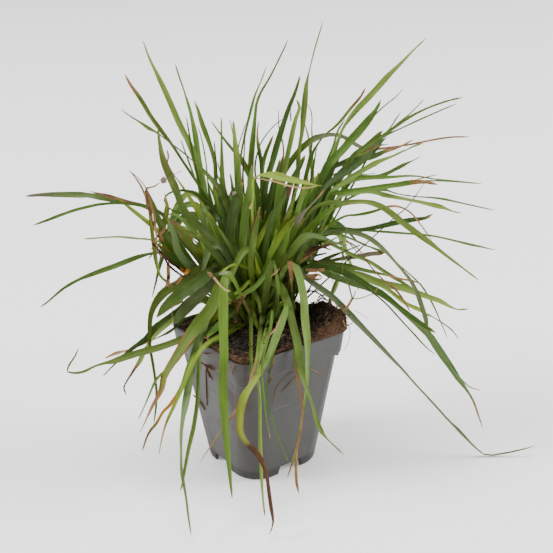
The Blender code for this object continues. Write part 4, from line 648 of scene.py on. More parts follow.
# "x,y,width x,y,width" as rows of numbers
def readPoints(text):
    return np.array([[float(n) for n in word.split(",")] for word in text.split()])


# a smooth curve through the points, chord by chord, resampled to even steps
def smoothRoute(points, count):
    points = np.asarray(points, float)
    knots = np.concatenate([[0], np.cumsum(np.linalg.norm(np.diff(points[:, :2], axis=0), axis=1))])
    slopes = np.gradient(points, knots, axis=0)
    slopes[1:-1] = (points[2:] - points[:-2]) / (knots[2:] - knots[:-2])[:, None]
    fine = np.linspace(0, knots[-1], 400)
    span = np.clip(np.searchsorted(knots, fine, side="right") - 1, 0, len(knots) - 2)
    width = (knots[span + 1] - knots[span])[:, None]
    at = ((fine - knots[span])[:, None]) / width
    curve = ((2 * at ** 3 - 3 * at ** 2 + 1) * points[span] + (at ** 3 - 2 * at ** 2 + at) * width
             * slopes[span] + (3 * at ** 2 - 2 * at ** 3) * points[span + 1]
             + (at ** 3 - at ** 2) * width * slopes[span + 1])
    run = np.concatenate([[0], np.cumsum(np.linalg.norm(np.diff(curve[:, :2], axis=0), axis=1))])
    steps = np.linspace(0, run[-1], count)
    return np.stack([np.interp(steps, run, curve[:, k]) for k in range(curve.shape[1])], -1)


# leaves that lean away from the viewer: each rises along a parabola and droops at its end
def backFan(bearing, spread, across, depth):
    leaves = []
    for k in range(backShape["leaves"]):
        angle = math.radians(bearing + spread * ((k + 0.5) / backShape["leaves"] - 0.5))
        high = k % 2
        mix = 0.5 + 0.5 * math.sin(2.4 * k + bearing)
        low, far = backShape["reach"]
        reach = low + (far - low) * (0.6 * high + 0.4 * mix)
        reach = min(reach, backShape["sideLimit"] / max(abs(math.sin(angle)), 0.05))
        low, far = backShape["rise"]
        rise = low + (far - low) * (0.75 * high + 0.25 * mix)
        peak = 0.58 - 0.1 * high
        step = np.linspace(0, 1, 8)[1:]
        away = reach * step ** 1.2
        points = (np.outer(away * math.cos(angle) - depth, -towards)
                  + np.outer(across + away * math.sin(angle), acrossWay))
        points[:, 2] = soilShape["level"] + rise * (1 - ((step - peak) / peak) ** 2)
        pixels, scale = picture(points)
        width = 4.4 * scale * np.minimum(1, 3.2 * (1.02 - step)) * np.minimum(1, 0.6 + step)
        colour = ("green", "dark", "light")[k % 3]
        leaves.append((colour, points @ towards, np.column_stack([pixels, width]), {}))
    return leaves


def allGroups():
    for name, bearing, spread, across, depth in backFans:
        yield name, "tuft", (depth, depth), backFan(bearing, spread, across, depth)
    for name, style, depths, members in leafGroups:
        rows = [row.split(" ", 2) for row in members]
        yield name, style, depths, [(colour, float(toward), readPoints(text), special.get((name, k + 1), {}))
                                    for k, (colour, toward, text) in enumerate(rows)]


# the free place in the crown nearest to the wanted one, as (across, towards)
def crownPlace(wanted, depth, taken, half):
    shifts = [(a, d) for a in np.arange(-16, 16.1, 1.0) for d in np.arange(-6, 6.1, 0.65)]
    shifts.sort(key=lambda s: abs(s[0]) + 3 * abs(s[1]))
    for shift in shifts:
        across = wanted + shift[0]
        toward = depth + shift[1]
        if abs(across) + half > growth["rootReach"] + 2:
            continue
        if all(abs(across - a) > half + h + 0.7 or abs(toward - t) > 1.5 + 0.8 * (max(h, half) > 2)
               for a, t, h in taken):
            return across, toward
    return wanted, depth


# where across the crown a leaf that starts at pixel x would stand
def wantedAcross(x):
    return growth["rootSpread"] * (x - growth["crownPixel"]) / 1.414


# where each leaf of a group stands; the leaves of a tuft stand in a short row
def rootPlaces(name, style, depths, members, taken):
    starts = np.array([points[0][0] for _, _, points, _ in members], float)
    wanted = wantedAcross(starts)
    reach = growth["rootReach"]
    pitch = growth["tuftPitch"]
    if style == "tuft":
        half = len(members) * pitch / 2
        centre = float(np.clip(wanted.mean(), half - reach, reach - half))
        root = crownPlace(centre, depths[0], taken, half)
        taken.append((*root, half))
        order = np.argsort(np.argsort(starts, kind="stable"), kind="stable")
        return [(root[0] + (rank - (len(members) - 1) / 2) * pitch, root[1]) for rank in order]
    places = []
    for k, across in enumerate(np.clip(wanted, 1 - reach, reach - 1)):
        depth = depths[0] + (depths[1] - depths[0]) * k / max(len(members) - 1, 1)
        root = handRoots.get((name, k + 1)) or crownPlace(across, depth, taken, growth["rootWidth"] / 2)
        taken.append((*root, growth["rootWidth"] / 2))
        places.append(root)
    return places


# one leaf as arrays along its length: pixels, half width, distance towards the viewer
def route(points, toward, root, width):
    base = acrossWay * root[0] + towards * root[1]
    base[2] = soilShape["level"] + soilShape["gap"]
    pixel, scale = picture(base)
    path = np.vstack([[*pixel, width * scale], points])
    line = smoothRoute(path, growth["stations"])
    share = np.linspace(0, 1, growth["stations"])
    if np.ndim(toward):
        steps = np.concatenate([[root[1]], toward])
        runs = np.concatenate([[0], np.cumsum(np.linalg.norm(np.diff(path[:, :2], axis=0), axis=1))])
        distance = np.interp(share * runs[-1], runs, steps)
    else:
        bend = np.interp(points[-1, 1], [100, 450], [1.5, 0.75])
        distance = root[1] + (toward - root[1]) * share ** bend
    return {"pixels": line[:, :2], "half": np.maximum(line[:, 2], 0.5) / 2, "toward": distance, "root": root}


def layOut():
    leaves = []
    taken = []
    for name, style, depths, members in allGroups():
        places = rootPlaces(name, style, depths, members, taken)
        for k, ((colour, toward, points, more), root) in enumerate(zip(members, places)):
            width = growth["tuftRootWidth"] if style == "tuft" else growth["rootWidth"]
            leaf = route(points, toward, root, width)
            leaf.update(group=name, style=style, colour=colour, number=k + 1, more=more, rank=len(leaves))
            leaves.append(leaf)
    return leaves, taken


# for each station, the nearest and farthest distance at which its sight line is in pot or soil
def blocked(leaves, margin):
    pixels = np.stack([leaf["pixels"] for leaf in leaves])
    above = 0.2 + 1.5 * np.clip((np.arange(growth["stations"]) - 1) / 3, 0, 1)
    near = np.full(pixels.shape[:2], -1e3)
    far = np.full(pixels.shape[:2], 1e3)
    rim = potSize["side"]
    top = potSize["height"]
    for distance in np.arange(-90, 100, 1.0):
        spot = place(pixels, np.full(pixels.shape[:2], distance))
        x, y, z = spot[..., 0], spot[..., 1], spot[..., 2]
        widest = np.maximum(np.abs(x), np.abs(y))
        side = np.interp(z, [0, top - potSize["collar"], top],
                         [potSize["bodyFoot"], potSize["collarFoot"], rim]) / 2
        inside = (widest < side + margin) & (z < top + margin) & (z > 0)
        mound = (widest < rim / 2 + soilShape["overhang"]) & (z < soilTop(x, y) + above) & (z > 50)
        hit = inside & ((z < top - 8) | (widest > rim / 2 - 3)) | mound
        near = np.where(hit, np.maximum(near, distance + 1), near)
        far = np.where(hit & (far > 500), distance - 1, far)
    return near, far


# each place where one leaf is seen over another: a point of one against a span of the other
def crossings(leaves):
    rows = []
    outline = []
    for leaf in leaves:
        run = np.gradient(leaf["pixels"], axis=0)
        run /= np.linalg.norm(run, axis=1, keepdims=True) + 1e-9
        side = np.stack([-run[:, 1], run[:, 0]], -1) * leaf["half"][:, None]
        outline.append(np.concatenate([leaf["pixels"] + side, leaf["pixels"], leaf["pixels"] - side]))
    station = np.tile(np.arange(growth["stations"]), 3)
    for i, leaf in enumerate(leaves):
        start = leaf["pixels"][:-1]
        span = leaf["pixels"][1:] - start
        reach = np.maximum(leaf["half"][1:], leaf["half"][:-1]) + 1.4
        low = leaf["pixels"].min(0) - 9
        high = leaf["pixels"].max(0) + 9
        for j, other in enumerate(leaves):
            if i == j:
                continue
            spots = outline[j]
            if (spots.max(0) < low).any() or (spots.min(0) > high).any():
                continue
            offset = spots[:, None, :] - start[None]
            at = np.clip((offset * span).sum(-1) / ((span ** 2).sum(-1) + 1e-9), 0, 1)
            apart = np.linalg.norm(offset - at[..., None] * span, axis=-1)
            point, piece = np.nonzero(apart < reach)
            if not len(point):
                continue
            keep = np.ones(len(point), bool)
            if leaf["group"] == other["group"] and leaf["style"] == "tuft":
                if leaf["group"].startswith("tuft_back"):
                    continue
                keep = (station[point] > 4) | (piece > 4)
            rows.append(np.column_stack([np.full(keep.sum(), j), station[point][keep],
                                         np.full(keep.sum(), i), piece[keep], at[point, piece][keep]]))
    return np.concatenate(rows)


# directions along and across a leaf, and out of its upper side, which looks to the viewer at the
# crown and turns partly upwards further out
def leafFrame(centre, turn=0.35):
    along = unit(np.gradient(centre, axis=0))
    toEye = unit(eye - centre)
    inward = -centre * np.array([1, 1, 0])
    upper = np.array([0, 0, 1.0]) + 0.35 * unit(inward)
    share = np.linspace(0, 1, len(centre))[:, None]
    lean = turn * np.clip(share / 0.5, 0, 1) ** 1.5
    seen = unit(toEye - (toEye * along).sum(-1, keepdims=True) * along)
    grown = upper - (upper * along).sum(-1, keepdims=True) * along
    out = unit(seen * (1 - lean) + grown * lean)
    return along, np.cross(along, out), out, (out * seen).sum(-1)


# how far a leaf's edges reach towards or away from the viewer
def edgeDepth(leaf):
    centre = place(leaf["pixels"], leaf["toward"])
    facing = leafFrame(centre)[3]
    return leaf["half"] / picture(centre)[1] * np.sqrt(np.maximum(1 - facing ** 2, 0)) * growth["edgeShare"]


# move stations along their sight lines until leaves that cross in the picture clear each other, and
# stay outside the pot and the soil
def separate(leaves):
    toward = np.stack([leaf["toward"] for leaf in leaves])
    first = toward.copy()
    rows = crossings(leaves)
    a, sa, b, sb = (rows[:, k].astype(int) for k in range(4))
    mix = rows[:, 4]
    rank = np.array([leaf["rank"] for leaf in leaves])
    count = len(leaves)
    apart = toward[a, sa] - ((1 - mix) * toward[b, sb] + mix * toward[b, sb + 1])
    later = rank[a] > rank[b]
    pair = np.minimum(a, b) * count + np.maximum(a, b)
    signed = np.where(later, apart, -apart)
    weight = np.where((sa < 2) & (sb < 2), growth["rootWeight"], 1.0)
    number = np.bincount(pair, weight)
    lead = np.bincount(pair, signed * weight) / np.maximum(number, 1)
    bias = np.where(number[pair] > growth["rootWeight"], 0.0, growth["orderBias"] * np.abs(rank[a] - rank[b]))
    sign = np.where(lead[pair] + bias > 0, 1.0, -1.0) * np.where(later, 1.0, -1.0)
    near, far = blocked(leaves, 1.9)
    front = first > np.where(near > -500, (near + far) / 2 - 12, -1e3)
    pixels = np.stack([leaf["pixels"] for leaf in leaves])
    low = place(pixels, np.zeros(first.shape))[..., 2]
    rate = place(pixels, np.ones(first.shape))[..., 2] - low
    floor = (growth["floorClearance"] - low) / rate
    ramp = np.minimum(1, np.linspace(0, 1, growth["stations"]) / 0.1)
    tilt = np.stack([edgeDepth(leaf) for leaf in leaves])
    room = growth["clearance"] + tilt[a, sa] + tilt[b, sb]
    for turn in range(growth["rounds"]):
        apart = toward[a, sa] - ((1 - mix) * toward[b, sb] + mix * toward[b, sb + 1])
        push = np.maximum(room - sign * apart, 0) * sign * 0.5
        ahead = np.zeros(toward.shape)
        behind = np.zeros(toward.shape)
        for who, where, size in ((a, sa, push), (b, sb, -push * (1 - mix)), (b, sb + 1, -push * mix)):
            np.maximum.at(ahead, (who, where), size)
            np.minimum.at(behind, (who, where), size)
        move = (ahead + behind) * ramp
        if turn < growth["rounds"] - growth["lastRounds"]:
            for _ in range(2):
                padded = np.pad(move, ((0, 0), (1, 1)), mode="edge")
                move = move * 0.4 + 0.3 * (padded[:, 2:] + padded[:, :-2])
            bend = np.pad(toward, ((0, 0), (1, 1)), mode="edge")
            ease = (bend[:, 2:] + bend[:, :-2]) / 2 - toward
            ease[:, 0] = 0
            ease[:, -1] = 0
            move = move + 0.12 * ease * ramp
        toward = toward + move
        toward = np.where(front & (near > -500), np.maximum(toward, near), toward)
        toward = np.where(~front & (far < 500), np.minimum(toward, far), toward)
        toward = np.maximum(toward, floor)
        toward[:, 0] = first[:, 0]
    for leaf, line in zip(leaves, toward):
        leaf["toward"] = line
    return leaves


# one leaf as a closed thin blade: a ring of points round each station of its line. Across the blade u
# runs from -1 to 1; the upper side lies at centre + across * u * half - out * keel * (1 - |u|^1.4), the
# lower side one thickness below it, and the line is turned about itself where the leaf is seen edge-on
blade = {
    "stations": 46,
    "columns": 7,
    "thickness": 0.30,
    "keel": 0.85,
    "edgeOnLimit": 1.5,      # how far a turned blade's edge may stand out, millimetres
    "ripple": 0.10,
    "vary": 0.16,            # how far leaves differ in lightness
}


# a cubic through evenly spaced rows, at count even places
def finer(rows, count):
    at = np.linspace(0, len(rows) - 1, count)
    k = np.clip(at.astype(int), 0, len(rows) - 2)
    t = (at - k)[:, None] if rows.ndim == 2 else at - k
    slope = np.gradient(rows, axis=0)
    return ((2 * t ** 3 - 3 * t ** 2 + 1) * rows[k] + (t ** 3 - 2 * t ** 2 + t) * slope[k]
            + (3 * t ** 2 - 2 * t ** 3) * rows[k + 1] + (t ** 3 - t ** 2) * slope[k + 1])


# the smallest smooth outline that holds a width profile, rising from the tip inwards
def envelope(width):
    reach = np.arange(len(width))
    apart = np.abs(reach[:, None] - reach[None]) / len(width)
    return (width[None] * np.clip(1 - (apart / 0.30) ** 2, 0, 1)).max(1)


def bladePoints(leaf, seed):
    rng = np.random.default_rng(seed)
    more = leaf["more"]
    centre = place(leaf["pixels"], leaf["toward"])
    scale = picture(centre)[1]
    facing = leafFrame(centre)[3]
    half = leaf["half"] / scale / np.maximum(facing, 0.72)
    count = blade["stations"]
    centre = finer(centre, count)
    half = np.maximum(finer(half, count), 0.14 if more.get("flat") else 0.22)
    along, across, out, _ = leafFrame(centre)
    full = half if more.get("flat") else np.maximum(envelope(half), half)
    turned = np.arccos(np.clip(half / full, 0.05, 1))
    spare = np.minimum(full * np.sin(turned), blade["edgeOnLimit"])
    full = np.sqrt(half ** 2 + spare ** 2)
    turned = np.arctan2(spare, half) * rng.choice([-1, 1])
    turned = turned + 0.22 * np.sin(np.linspace(0, rng.uniform(3, 7), count) + rng.uniform(0, 6))
    c, s = np.cos(turned)[:, None], np.sin(turned)[:, None]
    across, out = across * c + out * s, out * c - across * s
    full[-1] = 0.12
    columns = blade["columns"]
    u = np.linspace(-1, 1, columns)
    u = np.concatenate([u, u[1:-1][::-1]])
    lower = np.concatenate([np.zeros(columns), np.ones(columns - 2)])
    fall = np.linspace(0, 1, count)[:, None]
    keel = np.minimum(blade["keel"], full)[:, None] * (1 - 0.45 * fall) * more.get("fold", 1.0)
    ripple = (blade["ripple"] * full[:, None] * np.sin(fall * rng.uniform(25, 60) + 2.2 * np.sign(u))
              * np.abs(u) ** 3)
    sink = keel * (1 - np.abs(u) ** 1.4) + lower * blade["thickness"] * (1 - 0.3 * np.abs(u)) - ripple
    points = (centre[:, None] + across[:, None] * (full[:, None] * u)[..., None]
              - out[:, None] * sink[..., None])
    run = np.concatenate([[0], np.cumsum(np.linalg.norm(np.diff(centre, axis=0), axis=1))])
    ring = len(u)
    points = points.reshape(-1, 3)
    points[:, 2] = np.maximum(points[:, 2], 0.25)
    return points, ring, np.tile(u, count), np.repeat(run, ring)


# share of a leaf's length at a pixel; numbers stay as they are
def shareAt(leaf, spot):
    if not isinstance(spot, tuple):
        return spot
    apart = np.linalg.norm(finer(leaf["pixels"], 200) - np.array(spot), axis=1)
    return apart.argmin() / 199


# 1 between two places of a leaf, falling to 0 within a short way outside them
def between(leaf, share, ends, soft=0.02):
    low, high = sorted(shareAt(leaf, spot) for spot in ends)
    return np.clip(1 + np.minimum(share - low, high - share) / soft, 0, 1)


# colours along a blade: pale and brownish at the sheath, the leaf's own green, then its dried end
def bladeColours(leaf, seed, u, run, ring):
    rng = np.random.default_rng(seed + 5000)
    more = leaf["more"]
    share = np.repeat(np.linspace(0, 1, len(run) // ring), ring)
    own = np.array(greens[leaf["colour"]])
    own = own * np.exp(rng.normal(0, blade["vary"])) * (1 + rng.normal(0, 0.06, 3))
    tip = np.array(greens["lime" if leaf["colour"] in ("light", "lime") else leaf["colour"]])
    tint = own + (tip - own) * np.clip((share[:, None] - 0.55) / 0.45, 0, 1) * 0.5
    for start, end, name in more.get("wash", ()):
        tint = tint + (np.array(greens[name]) - tint) * between(leaf, share, (start, end), 0.06)[:, None]
    foot = np.clip(1 - run / 16.0, 0, 1)[:, None] ** 1.5 * more.get("foot", 0.75)
    tint = tint * (1 - foot) + np.array(greens["tan"]) * 0.5 * foot
    dryFrom = shareAt(leaf, more.get("dryAt", more.get("dry", 1 - abs(rng.normal(0.012, 0.012)))))
    dry = np.clip(0.5 + (share - dryFrom) / more.get("blend", 0.04), 0, 1)
    if leaf["colour"] in ("tan", "brown", "amber"):
        dry = np.where(leaf["colour"] == "amber", 0.0, 1.0) * np.ones_like(share)
    for ends in more.get("patches", ()):
        dry = np.maximum(dry, between(leaf, share, ends))
    char = more.get("char", 0.8 if leaf["colour"] == "brown" else 0.35)
    rim = np.zeros_like(share)
    for ends in more.get("rim", ()):
        rim = np.maximum(rim, between(leaf, share, ends, 0.04))
    return {"tint": tint, "dry": dry, "char": np.full_like(share, char), "rim": rim,
            "spot": np.full_like(share, more.get("spot", rng.uniform(0, 0.5) ** 2)), "across": u, "run": run}


# grass blade: parallel veins, a pale midrib, mottling, brown specks, orange margins and dried ends
def grassPaint():
    paint = Paint("grassBlade")
    across = paint.attribute("across")
    run = paint.attribute("run")
    tint = paint.attribute("tint", "Color")
    lane = paint.node("CombineXYZ", {}, {"X": across * 7.0, "Y": run * 0.10,
                                         "Z": paint.attribute("char") * 3.0})
    streak = paint.noise(1.0, 3.0, 0.6, lane)
    mottle = paint.noise(140.0, 3.0, 0.6)
    broad = paint.noise(28.0, 2.0, 0.5)
    veins = (across * 26.0).wave() * 0.5 + 0.5
    midrib = 1.0 - across.size().rise(0.03, 0.17)
    lightness = 0.44 + veins * 0.20 + streak * 0.62 + mottle * 0.16 + broad * 0.12 + midrib * 0.22
    fresh = paint.mix(1.0, tint, lightness, "MULTIPLY")
    bloom = (streak - 0.50).clip() * 1.2 + midrib * 0.10
    fresh = paint.mix(bloom * 0.40, fresh, (0.180, 0.240, 0.060))
    speck = paint.noise(520.0, 2.0, 0.6).rise(0.66, 0.74) * paint.attribute("spot")
    fresh = paint.mix(speck * 0.85, fresh, (0.045, 0.024, 0.010))
    edge = across.size().rise(0.45, 0.95) * paint.attribute("rim") * (0.5 + streak)
    fresh = paint.mix(edge.clip(), fresh, (0.230, 0.080, 0.018))
    worn = paint.attribute("dry") + (streak - 0.5) * 0.9 + (mottle - 0.5) * 0.35 + across.size() * 0.10
    dryMask = worn.rise(0.42, 0.72)
    turning = worn.rise(0.10, 0.45)
    fresh = paint.mix(turning * 0.75, fresh, (0.190, 0.190, 0.022))
    tone = (paint.attribute("char") + (streak - 0.5) * 0.9 + (mottle - 0.5) * 0.5).clip()
    husk = paint.ramp(tone, (0.0, (0.390, 0.260, 0.115)), (0.35, (0.240, 0.120, 0.042)),
                      (0.65, (0.090, 0.036, 0.013)), (1.0, (0.030, 0.014, 0.007)))
    base = paint.mix(dryMask, fresh, husk)
    rough = 0.52 + dryMask * 0.20 + mottle * 0.10
    height = veins * 0.30 + streak * 0.35 + mottle * 0.25
    through = (1.0 - dryMask) * 0.26
    return paint.finish(base, rough, paint.bump(height, 0.00012, 0.6), through, (0.22, 0.36, 0.030),
                        Specular_IOR_Level=0.26)


# blades joined into one piece that stands for the given nodes
def bladePiece(name, leaves, material, nodes=(), seed=0):
    points, faces, colours, first = [], [], {}, 0
    edge = []
    for k, leaf in enumerate(leaves):
        spots, ring, u, run = bladePoints(leaf, seed + 17 * k)
        faces += shifted(closedFaces(spots, blade["stations"], ring), first)
        for key, value in bladeColours(leaf, seed + 17 * k, u, run, ring).items():
            colours.setdefault(key, []).append(value)
        points.append(spots)
        edge.append(np.abs(u) > 0.999)
        first += len(spots)
    colours = {key: np.concatenate(value) for key, value in colours.items()}
    piece = meshPiece(name, np.concatenate(points), faces, material, colours, np.concatenate(edge))
    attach(piece, "root")
    if nodes:
        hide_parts(*nodes)
    return piece


laidOut, taken = layOut()
leaves = separate(laidOut)
print("leaves laid out:", len(leaves))
grass = grassPaint()
groups = {}
for leaf in leaves:
    groups.setdefault(leaf["group"], []).append(leaf)
for number, (name, members) in enumerate(groups.items()):
    if members[0]["style"] == "tuft":
        nodes = [name]
    else:
        nodes = ["{}_{:02d}".format(name, leaf["number"]) for leaf in members]
    bladePiece("blades_" + name, members, grass, nodes, 100 * number + 7)
print("blades made")

# slighter leaves that no solid stands for, rooted like the others: the group they grow with, colour,
# distance of the tip towards the viewer, points, and what is special
slightLeaves = [
    ("tuft_top_left", "green", -35, "213,235,3 210,205,3 208,180,1"),
    ("tuft_top_left", "green", -30, "216,235,3 216,210,3 214,185,1"),
    ("leaf_upright", "light", -60, "305,210,3 330,170,3 350,158,2.5 370,150,2"),
    ("tuft_right", "green", -45, "300,240,4 340,204,3 370,189,2 400,182,1.5 430,180.5,1.5 460,181.8,1.8 "
                                 "481.5,183.3,0.5"),
    ("leaf_right", "dark", 0, "291,280,4 300,262,5 308,250,6 316,238,6 322,228,1"),
    ("leaf_left", "lime", 5, "207,288,2 205,275,3 204,250.6,3.4 201,240,3 197.7,229.5,0.6"),
    ("tuft_middle", "green", 14, "272,285,6 277,268,8 283,250,8 289,232,6 294,222,1"),
    ("leaf_middle", "grey", 22, "240,290,3 230,262,5 220,247,5 213,246,6 208,253,6 205,262,4.5 203,272,3.5 "
                                "203.5,281,3 206.5,294,0.7"),
    ("leaf_middle", "green", 35, "262,275,6 256,255,6 250,249,6 243,252,7 237,262,6 230,278,5 225,290,4 "
                                 "218,305,1"),
    ("leaf_low", "green", 10, "262,280,6 268,262,5 272,248,5 276,229,0.8"),
    ("leaf_low", "lime", 15, "262,282,3 259,272,4 257,265,3 255,255,0.7"),
    ("leaf_low", "green", 12, "264,284,4 262,270,4 258,258,3.5 256,250,1"),
    ("leaf_low", "lime", 24, "262,288,4 256,272,4 245,267,4 236,264,3.5 228,267,3 222,272,3 219,276,1"),
    ("tuft_front", "light", 34, "270,270,3 262,279,5 255,287,5 247,292,5 238,297,5 230,300,5 223,304,4 "
                                "216,308,1"),
    ("tuft_front", "lime", 30, "250,282,4 243,288,4 236,293,4 229,299,1"),
    ("tuft_front", "green", 34, "242,300,4 235,312,4 222,322,6 213,331,6 206.5,338,1"),
    ("tuft_front", "lime", 30, "232,296,4 222,305,5 217,315,6 211,322,4 208,326,1"),
    ("tuft_front", "green", 44, "205,330,4 185,350,4 173.5,364,4 164,372,3 156,380,3 148.7,396,2 "
                                "138,419.5,0.5"),
    ("tuft_front", "lime", 62, "205,345,4 188,375,3 180.5,392.6,3.5 173.5,407,3.5 166.4,422.6,2 "
                               "162,438.5,1.2 159,455,0.5", {"dryAt": (166, 424), "char": 0.1, "blend": 0.15}),
    ("tuft_front", "green", 70, "247,297,4 250,310,5 251,325,4 251,347,3.5 251,365,3 250,378,0.8"),
    ("tuft_front", "lime", 40, "250,300,3 253,312,4 256,322,4 258,329,1"),
    ("tuft_front", "green", 40, "250,288,4 255,293,5 259,303,4 260.5,313.5,2"),
    ("leaf_front", "green", 94, "272,310,3 270,330,3 266,345,3 262,364,2 265.5,414,1.5 270,438.5,0.5"),
    ("leaf_front", "green", 88, "276,320,2 276,340,2 270,370,1.5 266,396.5,1.5 272.5,419,1.2 281,444,1.2 "
                                "288,462,0.5"),
]
# upright leaves that fill the crown between the traced ones, spread by a seed across it
crownFill = {"leaves": 54, "seed": 12, "base": (226, 290), "tip": (183, 345), "top": (152, 236),
             "width": (4.0, 7.5), "toward": (-62, 0),
             "groups": ("tuft_top_left", "leaf_upright", "tuft_right", "tuft_left", "tuft_middle")}


def fillLeaves():
    rng = np.random.default_rng(crownFill["seed"])
    rows = []
    for k in range(crownFill["leaves"]):
        share = (k + rng.uniform(0, 1)) / crownFill["leaves"]
        depth = rng.uniform(0, 1)
        baseX = np.interp(share, (0, 1), crownFill["base"]) + rng.normal(0, 5)
        tipX = np.interp(share, (0, 1), crownFill["tip"]) + rng.normal(0, 9)
        tipY = np.interp(depth * 0.8 + 0.5 * abs(share - 0.5), (0, 1), crownFill["top"]) + rng.uniform(-6, 10)
        step = np.array([0.28, 0.52, 0.76, 1.0])
        x = baseX + (tipX - baseX) * step ** rng.uniform(1.1, 1.7)
        y = 286 + (tipY - 286) * step
        width = rng.uniform(*crownFill["width"]) * np.array([0.85, 1.0, 0.8, 0.1])
        toward = np.interp(depth, (0, 1), crownFill["toward"]) + rng.normal(0, 6)
        group = crownFill["groups"][min(int(depth * 5), 4)]
        colour = ("green", "dark", "green", "light", "dark", "lime")[rng.integers(0, 6)]
        rows.append((group, colour, toward, np.column_stack([x, y, width])))
    return rows


# every leaf as close rows of points: pixel x and y, half width, distance towards the viewer and rank
def closeRows(leaves, fine=110):
    return np.concatenate([np.column_stack([finer(leaf["pixels"], fine), finer(leaf["half"], fine),
                                            finer(leaf["toward"], fine), np.full(fine, leaf["rank"])])
                           for leaf in leaves])


# a slight leaf takes the depth at its tip and the bulge towards the viewer that leave it the most room
# between the leaves it crosses: toward = root + (tip - root) * share ^ bend + bulge * 4 share (1 - share)
def fitBetween(leaf, rows, ordered):
    share = np.linspace(0, 1, growth["stations"])
    apart = np.linalg.norm(leaf["pixels"][:, None] - rows[None, :, :2], axis=-1)
    station, other = np.nonzero(apart < leaf["half"][:, None] + rows[None, :, 2])
    keep = station > 2
    station, other = station[keep], other[keep]
    wish = leaf["toward"][-1]
    root = leaf["toward"][0]
    form = (leaf["toward"] - root) / (wish - root) if abs(wish - root) > 1 else share
    best = None
    for tip in np.arange(wish - 21, wish + 22, 3.0):
        for bulge in np.arange(-12, 13, 3.0):
            line = root + (tip - root) * form + bulge * 4 * share * (1 - share)
            gap = line[station] - rows[other, 3]
            cost = np.maximum(1.6 - np.abs(gap), 0).sum() + 0.3 * abs(tip - wish) + 0.3 * abs(bulge)
            if ordered:
                wrong = np.where(leaf["rank"] > rows[other, 4], gap < 0, gap > 0)
                cost += 1.2 * wrong.sum()
            if best is None or cost < best[0]:
                best = (cost, line)
    leaf["toward"] = best[1]
    near, far = (limit[0] for limit in blocked([leaf], 1.9))
    leaf["toward"] = np.where(near > -500, np.maximum(leaf["toward"], near), leaf["toward"])
    for _ in range(6):
        wide = np.pad(leaf["toward"], 1, mode="edge")
        eased = (wide[2:] + wide[:-2] + 2 * wide[1:-1]) / 4
        leaf["toward"] = np.maximum(np.where(share > 0, eased, root), np.where(share > 0.15, near, -1e3))


def layOutSlight(leaves, table, name, ordered):
    depth = {group: depths[1] for group, _, depths, _ in leafGroups}
    last = {leaf["group"]: leaf["rank"] for leaf in leaves}
    rows = closeRows(leaves)
    made = []
    for group, colour, toward, points, *more in table:
        points = readPoints(points) if isinstance(points, str) else points
        wanted = float(np.clip(wantedAcross(points[0, 0]), -26, 26))
        root = crownPlace(wanted, depth[group], taken, 0.7)
        taken.append((*root, 0.7))
        leaf = route(points, toward, root, growth["tuftRootWidth"])
        leaf.update(group=name, style="tuft", colour=colour, number=len(made) + 1,
                    more=more[0] if more else {}, rank=last[group] + 0.5)
        fitBetween(leaf, rows, ordered)
        rows = np.concatenate([rows, closeRows([leaf])])
        made.append(leaf)
    bladePiece(name, made, grass, (), 3000 + len(made))
    return made


leaves += layOutSlight(leaves, slightLeaves, "slightLeaves", True)
leaves += layOutSlight(leaves, fillLeaves(), "crownFill", False)
print("slight leaves made, leaves in all:", len(leaves))


# how near to the viewer the foremost leaf stands at each pixel; beside the leaves, that of the nearest one
def overLeaves(spots):
    apart = np.linalg.norm(spots[:, None] - allRows[None, :, :2], axis=-1)
    front = np.where(apart < allRows[None, :, 2] + 1.0, allRows[None, :, 3], -1e3).max(1)
    return np.where(front > -500, front, allRows[apart.argmin(1), 3])


# how near to the viewer the pot or the soil is at each pixel; where neither is met, as at the nearest hit
def overPot(spots):
    steps = np.arange(95, -70, -0.2)
    x, y, z = np.moveaxis(place(spots[:, None], np.tile(steps, (len(spots), 1))), -1, 0)
    widest = np.maximum(np.abs(x), np.abs(y))
    shoulder = potSize["height"] - potSize["collar"]
    side = np.interp(z, [0, shoulder, shoulder + 0.01, potSize["height"]],
                     [potSize["bodyFoot"], potSize["bodyTop"], potSize["collarFoot"], potSize["side"]]) / 2
    corner = np.hypot(x, y) < side * 1.414 - 3.6
    inside = (widest < side) & corner & (z > 0) & (z < potSize["height"])
    inside |= (widest < side + 1.0) & (z < soilTop(x, y)) & (z > 97)
    hit = inside.any(1)
    first = steps[inside.argmax(1)]
    at = np.arange(len(spots))
    return np.interp(at, at[hit], first[hit]) if hit.any() else np.zeros(len(spots))


# a thin strip along pixels, lifted off what lies behind it; one number as surface makes it stand upright
def strip(colour, text, surface, more=None, lift=0.9):
    line = smoothRoute(readPoints(text), growth["stations"])
    if callable(surface):
        toward = surface(line[:, :2])
        wide = np.pad(toward, 2, mode="edge")
        toward = np.stack([wide[k:k + len(toward)] for k in range(5)]).max(0)
        wide = np.pad(toward, 2, mode="edge")
        toward = np.convolve(wide, np.ones(5) / 5, mode="valid") + lift
    else:
        toward = np.full(len(line), float(surface))
    return {"pixels": line[:, :2], "half": np.maximum(line[:, 2], 0.5) / 2, "toward": toward,
            "colour": colour, "more": {"foot": 0.0, "fold": 0.4, "flat": True, **(more or {})}, "rank": 0}


